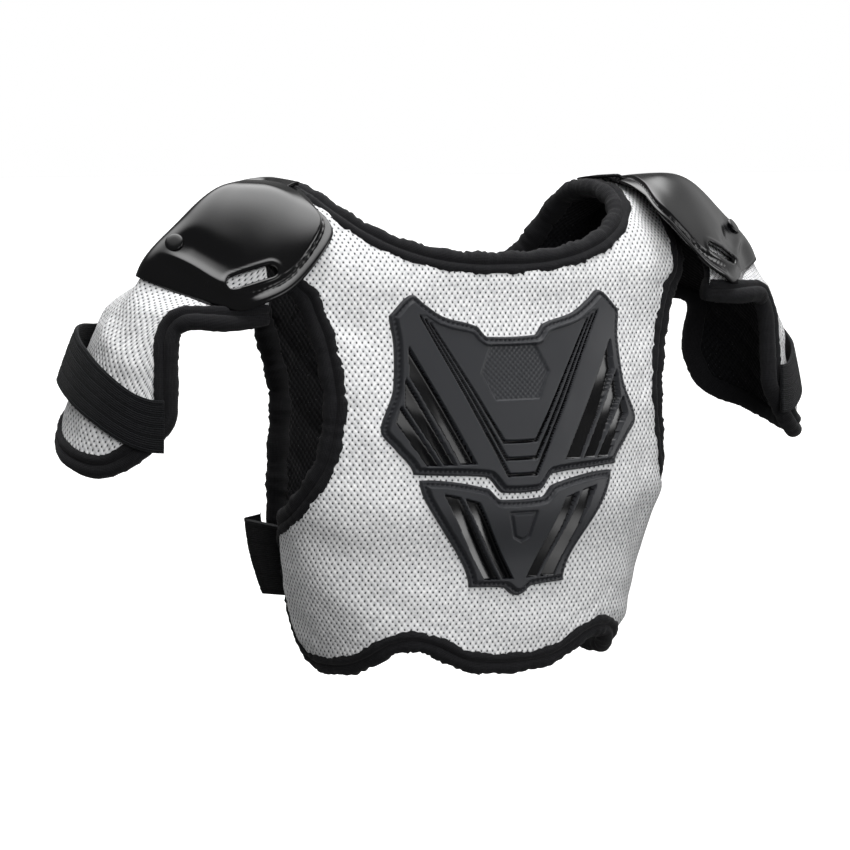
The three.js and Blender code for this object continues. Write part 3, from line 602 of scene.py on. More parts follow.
def sewn(name, points, quads, uv, materials):
    """A padded piece from an outer and a lining skin: the double points on its centre line are
    made one, walls close its edges, and the lining's faces take the second material."""
    half = len(points) // 2
    both = np.hstack([points[:half], points[half:]])
    both, quads, uv = welded(both, quads, uv)
    points, faces = shell(both[:, :3], both[:, 3:], quads)
    kind = np.ones(len(faces), np.int32)
    kind[:len(quads)] = 0
    return make(name, points, faces, materials, np.vstack([uv, uv]), kind)


for side_name in ("front", "back"):
    piece = sewn(f"{side_name}_mesh_panel", *panel(side_name), [MESH_CLOTH, LINING])
    place(piece, "spacer_mesh", f"{side_name}_panel")

# %% [markdown]
# ## Edge binding
# Woven tape is folded round every raw edge over a soft cord and sewn down beside it, so the
# edge shows two bands: a full roll outside, and a narrow piping on the mesh with the stitch
# line between them. The tape is gathered as it is sewn, which puckers it. It could be a curve
# with a bevel, but then it couldn't have two bands or puckers, so a profile is carried along
# the edge as an array.

# %% Paths and profiles
def rounded(points, count):
    """A closed smooth curve through points, as a Catmull-Rom spline sampled evenly."""
    points = np.asarray(points, float)
    t = np.arange(count) / count * len(points)
    k = t.astype(int)
    f = (t - k)[:, None]
    a, b, c, d = (points[(k + shift) % len(points)] for shift in (-1, 0, 1, 2))
    return 0.5 * (2 * b + (c - a) * f + (2 * a - 5 * b + 4 * c - d) * f**2
                  + (3 * b - a - 3 * c + d) * f**3)


TAPE_STEP = 2.2
TAPE_ROUNDS = 4


def even_path(path, normal, closed):
    """The path and its normals at even spacing. Each point is averaged with its neighbours a
    few times, which rounds the corners as tape does."""
    both = np.hstack([path, normal * 10])
    if closed:
        both = np.vstack([both, both[:1]])
    length = run_up(np.linalg.norm(np.diff(both[:, :3], axis=0), axis=1))
    count = int(length[-1] / TAPE_STEP)
    wanted = np.linspace(0, length[-1], count + 1)
    both = np.stack([np.interp(wanted, length, both[:, k]) for k in range(6)], axis=1)
    both = both[:-1] if closed else both
    for _ in range(TAPE_ROUNDS):
        side = (np.roll(both, 1, axis=0) + np.roll(both, -1, axis=0)) / 2
        if not closed:
            side[0], side[-1] = both[0], both[-1]
        both = (both + side) / 2
    return both[:, :3], unit(both[:, 3:])


def sweep(path, normal, sign, closed, profile, pucker):
    """Each profile point (out, up) goes to path + out * sideways + up * normal, where sideways
    is the tangent crossed with the normal. `pucker` gives a scale for each path and profile
    point about the profile's middle. Cloth coordinates are the two lengths."""
    if closed:
        tangent = unit(np.roll(path, -1, axis=0) - np.roll(path, 1, axis=0))
    else:
        tangent = unit(np.gradient(path, axis=0))
    sideways = unit(np.cross(tangent, normal)) * sign
    length, girth = (run_up(np.linalg.norm(np.diff(line, axis=0, append=line[:1]), axis=1))
                     for line in (path, profile))
    middle = profile.mean(axis=0)
    shape = middle + (profile - middle)[None] * pucker(length[:-1], girth[:-1])[..., None]
    points = (path[:, None] + sideways[:, None] * shape[..., :1]
              + normal[:, None] * shape[..., 1:])
    rows, columns = points.shape[:2]
    j, i = np.meshgrid(np.arange(rows if closed else rows - 1), np.arange(columns),
                       indexing="ij")
    corners = [(j, i), (j, i + 1), (j + 1, i + 1), (j + 1, i)]
    faces = np.stack([(a % rows) * columns + b % columns for a, b in corners], axis=-1)
    uv = np.stack([np.stack([length[a], girth[b]], axis=-1) for a, b in corners], axis=-2)
    faces, uv = faces.reshape(-1, 4), uv.reshape(-1, 4, 2)
    if sign > 0:
        faces, uv = faces[:, ::-1], uv[:, ::-1]
    return points.reshape(-1, 3), faces, uv.reshape(-1, 2), columns


# The profile in millimetres outward and upward from the middle of the panel's edge: under the
# panel, round the roll, into the stitch line, over the piping and back.
ROLL = rounded([[-2.6, -4.4], [0.4, -5.6], [4.4, -6.0], [8.4, -4.9], [10.7, -2.0],
                [10.7, 1.4], [8.9, 4.3], [6.0, 5.5], [3.7, 4.9], [2.5, 3.9], [1.2, 5.2],
                [-0.9, 5.9], [-2.9, 4.9], [-3.6, 3.2]], 34)


SWELL, SWELL_PITCH = 0.075, 24.0
CREASE, CREASE_PITCHES = 0.024, (3.8, 9.0)


def gathers(seed, closed_length, strength):
    """The puckers' scale: a slow swell about every 24 mm where the cord bunches, and fine
    creases every 4 to 9 mm that run slightly aslant."""
    def scale(length, girth):
        random = np.random.default_rng(seed)
        s, g = length[:, None], girth[None, :]
        swell = np.sin(2 * math.pi * s / (closed_length / round(closed_length / SWELL_PITCH)))
        total = SWELL * swell + 0 * g
        for _ in range(9):
            turns = round(closed_length / random.uniform(*CREASE_PITCHES))
            wave = 2 * math.pi * turns / closed_length
            total = total + CREASE * np.sin(wave * s + g * random.uniform(-0.25, 0.25)
                                            + random.uniform(0, 6.28))
        return 1 + strength * total
    return scale


def binding(name, path, normal, sign, closed, seed, strength=1.0):
    """Tape along an edge. An open end is closed with one face across it. `strength` says how
    far the tape is puckered."""
    path, normal = even_path(path, normal, closed)
    steps = np.linalg.norm(np.diff(path, axis=0, append=path[:1] if closed else path[-1:]),
                           axis=1)
    points, faces, uv, columns = sweep(path, normal, sign, closed, ROLL,
                                       gathers(seed, steps.sum(), strength))
    faces = [list(face) for face in faces]
    if not closed:
        first, last = list(range(columns)), list(range(len(points) - columns, len(points)))
        faces += [first, last[::-1]] if sign > 0 else [first[::-1], last]
        uv = np.vstack([uv, np.zeros((2 * columns, 2))])
    return make(name, points, faces, [TAPE], uv)


# %% The vest's edges
def flip_x(values):
    """Points or vectors mirrored from one side of the body to the other."""
    return values * np.array([-1.0, 1.0, 1.0])


middle_skin = {side: PANELS[side][2] - PANELS[side][3] * PAD / 2 for side in PANELS}


def vest_edge(values):
    """Round the outside: the front hem, up the left armhole and down its back, the back hem,
    and the right armhole. `values` holds an array of net values for each side."""
    front, back = values["front"], values["back"]
    left = np.vstack([front[1:, -1], back[1:-1, -1][::-1]])
    return np.vstack([front[0, :HALF_COLUMNS], front[0, HALF_COLUMNS + 1:], left,
                      back[0, HALF_COLUMNS + 1:][::-1], back[0, :HALF_COLUMNS][::-1],
                      flip_x(left[::-1])])


def neck_edge(values):
    """Round the neck: up its left edge in front, down it behind, and back on the right."""
    inner = HALF_COLUMNS + 1
    left = np.vstack([values["front"][BODY_ROWS:, inner],
                      values["back"][BODY_ROWS:-1, inner][::-1]])
    return np.vstack([left, flip_x(left[1:-1][::-1])])


skin_normals = {side: PANELS[side][3] for side in PANELS}
piece = binding("edge_binding", vest_edge(middle_skin), vest_edge(skin_normals), 1.0, True, 3)
place(piece, "binding_tape", "hem_binding_front", "hem_binding_back", "armhole_binding_left",
      "armhole_binding_right")
piece = binding("neck_binding_tape", neck_edge(middle_skin), neck_edge(skin_normals), -1.0,
                True, 4)
place(piece, "binding_tape", "neck_binding")

# %% [markdown]
# ## Chest plates
# Two rubber mouldings are sewn to the mesh round a thin flange. On the upper plate three V
# grooves lead down to the middle, and beside them lie banks of louvres, each a polished slope
# between matte ribs. The lower plate carries the louvres on, and its middle has the form of a
# Y. How deep they are is a guess from the photograph's shading. The relief is a height worked
# out from distances to a few drawn lines, so it is real geometry, and the polish follows it
# face by face.

# %% Distances to drawn lines
def to_line(x, z, line):
    """Least distance of each point to a polyline and the length along the line at its foot,
    one segment at a time: the foot is the point's projection, held between the ends."""
    line = np.asarray(line, float)
    best = np.full(x.shape, 1e9)
    place_along = np.zeros(x.shape)
    start = 0.0
    for (ax, az), (bx, bz) in zip(line[:-1], line[1:]):
        size = math.hypot(bx - ax, bz - az)
        if size < 1e-9:
            continue
        t = np.clip(((x - ax) * (bx - ax) + (z - az) * (bz - az)) / size**2, 0, 1)
        gap = np.hypot(x - ax - t * (bx - ax), z - az - t * (bz - az))
        place_along = np.where(gap < best, start + t * size, place_along)
        best = np.minimum(best, gap)
        start += size
    return best, place_along


def inside(x, z, outline):
    """True where a point lies within a closed outline, by how often a ray crosses it."""
    result = np.zeros(x.shape, bool)
    for (ax, az), (bx, bz) in zip(outline, outline[1:] + outline[:1]):
        if az == bz:
            continue
        cross = (az > z) != (bz > z)
        result ^= cross & (x < (bx - ax) * (z - az) / (bz - az) + ax)
    return result


def on_front(x, z):
    """The place and normal on the front panel at a half width and a height."""
    level = np.where(z < ARCH_Z, (z - ARCH_Z) / (HEIGHT + ARCH_Z),
                     np.arcsin(np.clip((z - ARCH_Z) / (PAD - ARCH_Z), -1, 1)) * 2 / math.pi)
    turn = turn_at("front", x, level) * np.sign(x)
    return vest("front", turn, level), normals(lambda a, b: vest("front", a, b), turn, level)


# %% The plates' outlines and nets
PLATE_HALF = 91.0
PLATE_SEAT = 0.2
FLANGE = 2.8
PLATE_THICK = 4.8
OUTLINES = {
    "upper": ([[0, -0.283], [0.19, -0.281], [0.26, -0.259], [0.5, -0.238], [0.64, -0.211],
               [0.73, -0.191], [0.91, -0.235], [1, -0.25]],
              [[0, -0.606], [0.14, -0.604], [0.26, -0.57], [0.76, -0.559], [1, -0.551]],
              [[0, 0.9], [0.2, 0.88], [0.45, 0.9], [0.72, 1], [0.86, 0.9], [1, 0.79]]),
    "lower": ([[0, -0.619], [0.16, -0.617], [0.26, -0.592], [0.73, -0.57], [1, -0.578]],
              [[0, -0.823], [0.04, -0.82], [0.11, -0.805], [0.34, -0.8], [1, -0.79]],
              [[0, 0.75], [1, 0.37]]),
}


def plate_net(top, bottom, side, rows, columns):
    """Half width and height of each net point: the share of the half width scales with the
    side's curve, and the height runs between the top and bottom curves."""
    down = np.linspace(1, 0, rows + 1)[:, None]
    across = np.linspace(-1, 1, columns + 1)[None, :]
    share = np.abs(across) * track(side, down)
    high, low = track(top, share) * HEIGHT, track(bottom, share) * HEIGHT
    return np.sign(across) * share * PLATE_HALF, high + (low - high) * down


def rim_of(x, z):
    """The net's border as a closed list of places."""
    places = np.stack([x, z], axis=-1)
    loop = np.vstack([places[0], places[1:, -1], places[-1, ::-1][1:], places[::-1, 0][1:]])
    return loop[::3].tolist() + [loop[0].tolist()]


# %% Reliefs
LIP = 1.2
GROOVE_AT = 2.6  # the stitch groove's distance from the edge
STITCH_PITCH = 3.2
LOUVRE_DEEP = 4.2
LOUVRE_RISE = 0.75  # how much of that depth a slope climbs
SLOPE_START, RIB_START = 0.16, 0.8  # in shares of a louvre's width
V_FEET = (-170.5, -160.5, -150.0)
V_DEEP = 2.6
V_STEP = 0.45


def edge_relief(x, z):
    """Height from the distance to the edge: a rounded lip, a flange with a stitch groove that
    has a stitch every 3.2 mm, and a wall up to the full thickness. Returns both."""
    gap, way = to_line(x, z, rim_of(x, z))
    height = PLATE_SEAT + FLANGE * (1 - (1 - np.clip(gap / LIP, 0, 1)) ** 2) ** 0.5
    groove = np.exp(-((gap - GROOVE_AT) / 0.55) ** 2)
    half_pitch = STITCH_PITCH / 2
    stitch = smooth_step(0.35, 0.7, np.abs((way % STITCH_PITCH) - half_pitch) / half_pitch)
    height = height - groove * (1.5 - 1.2 * (1 - stitch))
    return height + (PLATE_THICK - FLANGE) * smooth_step(3.3, 4.8, gap), gap


def louvres(x, z, lines, outline):
    """Depth of a bank of slats between drawn lines. From the inner line the floor drops sheer
    to full depth, rises as a polished slope, and ends under a thin matte rib at the outer
    line, as the teeth of a saw do. At the top of the bank the floor is level, and it turns
    into the slope over 30 mm."""
    ax = np.abs(x)
    places = [np.interp(-z, [-p[1] for p in line], [p[0] for p in line]) for line in lines]
    bank = inside(ax, z, outline)
    gap, _ = to_line(ax, z, outline + outline[:1])
    depth = np.zeros_like(x)
    polish = np.zeros(x.shape, bool)
    for one, two, line in zip(places, places[1:], lines[1:]):
        turn = smooth_step(line[-2][1] + 1, line[-2][1] - 30, z)
        share = (ax - one) / np.maximum(two - one, 0.5)
        within = bank & (share >= 0) & (share < 1)
        rise = LOUVRE_RISE * np.clip((two - one) / 8.0, 0.1, 1)
        up = np.clip((share - SLOPE_START) / (RIB_START - SLOPE_START), 0, 1)
        slope = np.where(share < RIB_START, 1 - rise * turn * up, 0.0)
        depth = np.where(within, slope, depth)
        polish |= within & (share < RIB_START)
    return depth * smooth_step(0, 1.0, gap) * LOUVRE_DEEP, polish & (gap > 0.4)


def upper_relief(x, z):
    """The upper plate: flange, three V grooves with a small step down inside each, a knurled
    hexagon and the louvre banks."""
    height, edge = edge_relief(x, z)
    ax = np.abs(x)
    polish = np.zeros(x.shape, bool)
    for k, foot in enumerate(V_FEET):
        line = [(0, foot), (9.7 + 0.9 * k, foot), (63 - 3.5 * k, -70.5 - 2.5 * k)]
        gap, _ = to_line(ax, z, line)
        above = smooth_step(-67.0 - 2 * k, -74.0 - 3 * k, z)
        half = 0.4 + 0.6 * np.clip((-80.0 - z) / 80.0, 0, 1)
        height = height - V_DEEP * smooth_step(half + 0.35, half - 0.3, gap) * above \
            * smooth_step(4, 6, edge)
        within = inside(ax, z, [(-1, foot), *line, (-1, -60.0)])
        height = height - V_STEP * (within & (edge > 6))
        polish |= (gap < half + 0.15) & (edge > 5.5)
    # Each line is a louvre's edge: it leaves the bank's outer side at one corner of `side`.
    side = [(72, -88), (75, -108), (79, -125), (84, -136)]
    feet = [(31, -163), (45, -163), (55, -163), (66, -163)]
    lines = [side[:k + 1] + [foot] for k, foot in enumerate(feet)]
    depth, shine = louvres(x, z, lines, side + [feet[-1], feet[0]])
    height = height - depth * smooth_step(4.4, 5.6, edge)
    polish |= shine & (edge > 4.8)
    hexagon = np.maximum(np.abs(z + 107) / 17, (ax + 0.5 * np.abs(z + 107)) / 24)
    pit = smooth_step(1.04, 0.96, hexagon)
    knurl = np.maximum(np.abs(np.sin(math.pi * (x + z) / 3.6)),
                       np.abs(np.sin(math.pi * (x - z) / 3.6)))
    return height - pit * (0.9 + 0.5 * knurl**3), polish


def lower_relief(x, z):
    """The lower plate: flange, louvre banks, and a Y that they leave standing, with a small tab
    outlined by a groove in its middle."""
    height, edge = edge_relief(x, z)
    ax = np.abs(x)
    lines = [[(30.5, -186), (4, -236)], [(43.5, -182), (14, -236)], [(57, -179), (27, -236)]]
    outline = [(30.5, -186), (43.5, -182), (57, -179), (27, -236), (4, -236)]
    depth, polish = louvres(x, z, lines, outline)
    height = height - depth * smooth_step(4.4, 5.6, edge)
    polish &= edge > 4.8
    tab = [(-1, -193.5), (9, -193.5), (5, -208), (-1, -211)]
    gap, _ = to_line(ax, z, tab)
    height = height - 1.4 * smooth_step(1.3, 0.4, gap) * smooth_step(5.4, 7.0, edge)
    return height, polish


# %% Make the plates
def plate(name, key, relief, rows, columns):
    """The relief over the front's surface, and a flat back that beds into the mesh."""
    x, z = plate_net(*OUTLINES[key], rows, columns)
    places, normal = on_front(x, z)
    height, polish = relief(x, z)
    border = np.zeros(x.shape, bool)
    border[[0, -1], :] = True
    border[:, [0, -1]] = True
    top = places + normal * height[..., None]
    base = places + normal * np.where(border, -1.0, -0.6)[..., None]
    quads = net(*x.shape)
    points, faces = shell(top.reshape(-1, 3), base.reshape(-1, 3), quads)
    kind = np.zeros(len(faces), np.int32)
    kind[:len(quads)] = polish.reshape(-1)[quads].sum(axis=1) >= 3
    piece = make(name, points, faces, [RUBBER, POLISHED], None, kind)
    place(piece, "plate_rubber", f"chest_plate_{key}")


plate("upper_chest_plate", "upper", upper_relief, 176, 236)
plate("lower_chest_plate", "lower", lower_relief, 120, 210)

# %% [markdown]
# ## Shoulder cups
# Each cup is one injection-moulded shell: a dome that draws out to a lip over the arm. A flange
# with a sewn groove runs round the side towards the neck, a ridge crosses the front down to a
# vent slot, and two rivets hold it to the sleeve. It is a net in rings and directions, with its
# corners smoothed round each ring, raised by its ridge, and with the slot's edge drawn onto a
# true slot outline. Its dome is rounder near the top than the CAD's, by up to 3.4 mm.

# %% The dome
RIM = [[0, 1, 0.75], [8, 0.895, 0.803], [15, 0.8, 0.855], [35, 0.71, 0.934],
       [60, 0.71, 0.987], [80, 0.737, 0.908], [92, 0.757, 0.829], [108, 0.79, 0.618],
       [123, 0.816, 0.382], [138, 0.59, 0.184], [160, 0.476, 0.079], [180, 0.447, 0.04]]
RIM_BACK = [[0, 0.75], [15, 0.75], [35, 0.7], [60, 0.6], [80, 0.38], [92, 0.21],
            [108, 0.09], [123, 0.05], [138, 0.035], [180, 0.04]]
DOME_ROUND = 1.45
TOP_ROUND, TOP_REACH = 0.6, 0.42  # how much rounder the top is, and how far out that reaches
CAP_INSET = CUP_WALL + 0.054 * CUP_REACH


def dome(share, direction, inset):
    """A share of the rim's radius out from the centre, and down from the top by the rim's drop
    along a superellipse, which is rounder near the top. Directions run from the lip, forward to
    the neck side."""
    around = np.degrees(np.abs(direction))
    radius = track(RIM, around, 1) * CUP_REACH
    drop = np.where(direction > 0, track(RIM, around, 2), track(RIM_BACK, around, 1)) * CUP_REACH
    reach = (radius - inset) * share
    power_here = DOME_ROUND + TOP_ROUND * np.exp(-(np.asarray(share) / TOP_REACH) ** 2)
    fall = 1 - (1 - share**power_here) ** (1 / power_here)
    return np.stack([CUP_X + reach * np.cos(direction), CUP_Y - reach * np.sin(direction),
                     CUP_TOP - inset - (drop - inset) * fall], axis=-1)


def grid_normals(points, outward):
    """Normals of a net from its own rows and columns. `outward` is a direction that the mean
    normal has to share."""
    normal = unit(np.cross(np.gradient(points, axis=1), np.gradient(points, axis=0)))
    return normal if (normal.mean(axis=(0, 1)) @ np.asarray(outward)) > 0 else -normal


def swung(points, side):
    """The arm hangs forward or back by a small turn about the top of the shoulder."""
    turn = -side * ARM_PITCH
    y, z = points[..., 1], points[..., 2] - CUP_TOP
    return np.stack([points[..., 0], y * math.cos(turn) - z * math.sin(turn),
                     y * math.sin(turn) + z * math.cos(turn) + CUP_TOP], axis=-1)


def handed(points, faces, side):
    """The left piece as it is, or mirrored to the right with its faces turned round, and then
    swung with the arm."""
    if side < 0:
        points, faces = flip_x(points), [list(face)[::-1] for face in faces]
    return swung(points, side), faces


SIDES = {"left": 1, "right": -1}

# %% Ridge, flange and slot
CUP_RINGS = 84
CUP_COLUMNS = 288
RING_SPACING = 0.8  # below 1, so the rings crowd towards the rim
SLOT_SPAN = (0.7, 1.7)  # directions in radians that the slot lies between
SLOT_LONG, SLOT_WIDE = 32.0, 8.0
SLOT_PLACE = (0.9, math.radians(69))
SLOT_TILT = math.radians(-16)
RIDGE_HIGH = VALLEY_DEEP = 1.9
BELOW_RIDGE = 1.3
FLANGE_LOW = 1.7
FLANGE_WIDE = (11.6, 10.0)  # from the rim to where the flange's step ends and starts
FLANGE_GROOVE = 8.9
FLARE = 4.2
INNER_SOFT, OUTER_SOFT = 11.0, 4.0  # degrees that a ring's corners are spread over


def slot_frame():
    """The slot's middle and the axes along it and across it."""
    share, direction = (np.array(value) for value in SLOT_PLACE)
    middle = dome(share, direction, 0)
    normal = normals(lambda a, b: dome(a, b, 0), share, direction)
    normal = normal if normal[2] > 0 else -normal
    around = np.array([math.sin(SLOT_PLACE[1]), math.cos(SLOT_PLACE[1]), 0.0])
    up = unit(np.cross(normal, around))
    around = np.cross(up, normal)
    long = math.cos(SLOT_TILT) * around + math.sin(SLOT_TILT) * up
    return middle, long, np.cross(normal, long)


def from_slot(points):
    """Signed distance to the slot's outline, a stadium, and its two directions of growth."""
    middle, long, wide = slot_frame()
    a, b = (points - middle) @ long, (points - middle) @ wide
    past = np.sign(a) * np.maximum(np.abs(a) - (SLOT_LONG - SLOT_WIDE) / 2, 0)
    size = np.hypot(past, b)
    grow = (past[..., None] * long + b[..., None] * wide) / np.maximum(size, 1e-6)[..., None]
    return size - SLOT_WIDE / 2, grow


def softened(points, degrees):
    """Rings of a closed net with their sharp corners spread over some degrees: each wave round
    the ring is damped by a Gaussian of its count."""
    count = points.shape[1] - 1
    waves = np.fft.rfftfreq(count, 1 / count)
    damp = np.exp(-(waves * math.radians(degrees)) ** 2 / 2)[None, :, None]
    ring = np.fft.irfft(np.fft.rfft(points[:, :-1], axis=1) * damp, count, axis=1)
    return np.concatenate([ring, ring[:, :1]], axis=1)


def cup_heights(share, direction, points):
    """The relief on the dome: a ridge with a valley above it across the front, a fainter one at
    the rear, a lowered flange on the neck side with a stitched groove and a flared lip, and a
    raised rim round the slot."""
    way = arc_lengths(points, 0)[1]
    rim = way[-1:] - way
    angle = np.degrees(direction)
    front = smooth_step(4, 20, angle) * smooth_step(66, 46, angle)
    crest = 0.885 + 0.055 * smooth_step(10, 56, angle)
    below = smooth_step(crest - 0.01, crest + 0.03, share)
    height = front * (RIDGE_HIGH * bell(share, crest, 0.026)
                      - VALLEY_DEEP * bell(share, crest - 0.1, 0.07) - BELOW_RIDGE * below)
    rear = smooth_step(-14, -34, angle) * smooth_step(-80, -56, angle)
    height = height + rear * (1.1 * bell(share, 0.83, 0.035) - 0.9 * bell(share, 0.72, 0.07))
    neck = np.maximum(smooth_step(60, 78, angle), smooth_step(-80, -92, angle))
    stitch = smooth_step(0.3, 0.6, np.abs((angle * 1.1) % 4 - 2) / 2)
    height = height - neck * FLANGE_LOW * smooth_step(*FLANGE_WIDE, rim)
    height = height - neck * (1.6 - 1.1 * stitch) * bell(rim, FLANGE_GROOVE, 0.8)
    height = height + neck * FLARE * smooth_step(9.5, 0.0, rim) * smooth_step(140, 112, angle)
    height = height + 0.5 * bell(rim, 0.0, 1.6) * (1 - neck)
    gap, _ = from_slot(points)
    return height + 0.8 * bell(gap, 1.6, 1.2) * (share > 0.5)


def mixed_rows(inner_rows, outer_rows, share):
    """The first net near the centre, and the second towards the rim."""
    part = smooth_step(0.6, 1.0, share)[..., None]
    return inner_rows * (1 - part) + outer_rows * part


def cup():
    """Outer and inner skin of the cup, and the quads that the slot leaves."""
    share = np.linspace(0, 1, CUP_RINGS + 1)[:, None] ** RING_SPACING
    direction = np.linspace(-math.pi, math.pi, CUP_COLUMNS + 1)[None, :]
    points = dome(share, direction, 0)
    points = mixed_rows(softened(points, INNER_SOFT), softened(points, OUTER_SOFT), share)
    normal = grid_normals(points, (0, 0, 1))
    normal[0] = (0, 0, 1)
    normal[:, 0] = normal[:, -1] = unit(normal[:, 0] + normal[:, -1])
    height = cup_heights(share, direction, points)
    outer = points + normal * height[..., None]
    gap, grow = from_slot(outer)
    facing_slot = (direction > SLOT_SPAN[0]) & (direction < SLOT_SPAN[1]) & (share > 0.5)
    centre = (gap[:-1, :-1] + gap[:-1, 1:] + gap[1:, 1:] + gap[1:, :-1]) / 4
    keep = ~(facing_slot[:-1, :-1] & (centre < 0))
    # A point between a kept cell and a cut one is drawn onto the slot's outline.
    kept, cut = np.zeros(gap.shape, bool), np.zeros(gap.shape, bool)
    for j in (slice(None, -1), slice(1, None)):
        for i in (slice(None, -1), slice(1, None)):
            kept[j, i] |= keep
            cut[j, i] |= ~keep
    outer = np.where((kept & cut)[..., None], outer - grow * gap[..., None], outer)
    inner = outer - normal * CUP_WALL
    quads = net(*gap.shape, keep)
    return outer.reshape(-1, 3), inner.reshape(-1, 3), quads[:, ::-1], (outer, normal)


outer, inner, quads, cup_skin = cup()
both, quads, _ = welded(np.hstack([outer, inner]), quads)
points, faces = shell(both[:, :3], both[:, 3:], quads)
for name, side in SIDES.items():
    piece = make(f"cup_shell_{name}", *handed(points, faces, side), [SHELL])
    place(piece, "cup_shell", f"shoulder_cup_{name}")

# %% [markdown]
# ## Rivets
# Each cup is held by two rivets. A rivet is a small turned profile, a flat head with a rounded
# edge, set square on the shell at the place that the CAD gives. Its head is 11.6 mm wide, as in
# the photograph, and the CAD's is 10 mm.

# %% Rivets
RIVETS = [(0.8, math.radians(9)), (0.8, math.radians(-20))]
RIVET_PROFILE = np.array([[0.0, 1.4], [2.6, 1.38], [4.3, 1.3], [5.2, 1.12], [5.6, 0.75],
                          [5.8, 0.3], [5.8, 0.0], [5.7, -1.4]])


def on_cup(share, direction):
    """The raised skin's place and normal nearest to a place on the dome, in the left cup."""
    skin, normal = cup_skin
    wanted = dome(np.array(share), np.array(direction), 0)
    nearest = np.argmin(((skin - wanted) ** 2).sum(axis=-1))
    return skin.reshape(-1, 3)[nearest], normal.reshape(-1, 3)[nearest]


RIVET_COLUMNS = 40


def rivet(place_at, normal):
    """The profile turned round the normal, closed at its top by one point and below by one
    face."""
    side = unit(np.cross(normal, [0.0, 1.0, 0.0]))
    other = np.cross(normal, side)
    angle = np.linspace(0, 2 * math.pi, RIVET_COLUMNS, endpoint=False)
    ring = np.cos(angle)[:, None] * side + np.sin(angle)[:, None] * other
    body = RIVET_PROFILE[1:]
    points = place_at + body[:, None, :1] * ring + body[:, None, 1:] * normal
    faces = net(len(body), RIVET_COLUMNS, looped=True).reshape(-1, 4).tolist()
    top = place_at + RIVET_PROFILE[0, 1] * normal
    points = np.vstack([points.reshape(-1, 3), top])
    last = len(points) - 1
    faces += [[last, (k + 1) % RIVET_COLUMNS, k] for k in range(RIVET_COLUMNS)]
    faces.append(list(range(last - RIVET_COLUMNS, last)))
    return points, [face[::-1] for face in faces]


for name, side in SIDES.items():
    for k, rivet_place in enumerate(RIVETS):
        points, faces = handed(*rivet(*on_cup(*rivet_place)), side)
        piece = make(f"cup_rivet_head_{name}_{k + 1}", points, faces, [SHELL])
        place(piece, "cup_shell", f"cup_rivet_{name}_{k + 1}")

# %% [markdown]
# ## Arm sleeves
# Under each cup a padded yoke carries a flap that wraps the outside of the upper arm. The flap
# is open towards the body, where its black lining shows, and an elastic strap pulls it in. The
# net is one: rings under the cup's dome, the yoke's lower edge, and rows down the flap, whose
# sections are superellipses.

# %% The sleeve's surface
SLEEVE_SECTIONS = [[-2.2, -0.06, 1.5, 0.87], [-1.97, -0.08, 1.46, 0.87],
                   [-1.12, -0.17, 1.22, 0.84], [-0.8, -0.25, 1.08, 0.745]]
SLEEVE_ROUND = 2.2
YOKE_LOW = -0.8 * CUP_REACH
FLAP_X = CUP_X + 0.92 * CUP_REACH
SLEEVE_HEM = [[0, 0.88], [0.08, 1.06], [0.25, 1.24], [0.45, 1.18], [0.7, 1], [0.92, 0.84],
              [1, 0.6]]
ARM_COLUMNS, FLAP_COLUMNS, FLAP_ROWS = 22, 120, 54
SLEEVE_QUILT = 24
SLEEVE_ROUNDS = 10
GRIP, GRIP_WIDE = 1.2, 17  # how far the strap draws the cloth in, and over what width
BULGE, BULGE_OFF, BULGE_WIDE = 1.5, 25, 9  # the cloth's rise on both sides of it


def sleeve_section(z, share):
    """A superellipse at each height. Its share runs from -2 to -1 along the yoke's front, to 1
    round the flap and to 2 along the yoke's back."""
    level = z / CUP_REACH
    centre, reach, half = (track(SLEEVE_SECTIONS, level, k) * CUP_REACH for k in (1, 2, 3))
    start, flap = (np.arccos(((x - CUP_X) / reach) ** (SLEEVE_ROUND / 2))
                   for x in (SLEEVE_START, FLAP_X))
    beyond = np.sign(share) * (flap + (start - flap) * (np.abs(share) - 1))
    angle = np.where(np.abs(share) <= 1, flap * share, beyond)
    return np.stack([CUP_X + reach * np.abs(np.cos(angle)) ** (2 / SLEEVE_ROUND),
                     centre + half * power(np.sin(angle), 2 / SLEEVE_ROUND),
                     z + 0 * angle], axis=-1)


def sleeve_net():
    """Rings of the cap, five rows down to the yoke's edge, and the flap's rows to its hem. The
    rows are then averaged a little, so the cap runs into the flap without a crease."""
    share = np.concatenate([np.linspace(-2, -1, ARM_COLUMNS + 1)[:-1],
                            np.linspace(-1, 1, FLAP_COLUMNS + 1),
                            np.linspace(1, 2, ARM_COLUMNS + 1)[1:]])
    yoke = sleeve_section(np.array(YOKE_LOW), share)
    direction = np.arctan2(CUP_Y - yoke[:, 1], yoke[:, 0] - CUP_X)
    rings = np.linspace(0.12, 1, 16)[:, None]
    cap = dome(rings, direction[None, :] + 0 * rings, CAP_INSET)
    cap[..., 0] = np.maximum(cap[..., 0], SLEEVE_START)
    blend = np.linspace(0, 1, 7)[1:-1, None, None]
    down = cap[-1] + (yoke - cap[-1]) * blend
    hem = track(SLEEVE_HEM, np.clip((share + 1) / 2, 0, 1)) * CUP_REACH
    rows = np.linspace(0, 1, FLAP_ROWS + 1)[1:, None]
    flap = sleeve_section(YOKE_LOW - hem * rows, share[None, :] + 0 * rows)
    points = np.concatenate([cap, down, yoke[None], flap])
    top = len(cap) + len(down)
    for _ in range(SLEEVE_ROUNDS):
        points[1:-1] = (points[1:-1] * 2 + points[:-2] + points[2:]) / 4
    normal = grid_normals(points, (1, 0, 0))
    for column in (0, -1):
        normal[:, column, 0] = 0
    return points, unit(normal), share, top


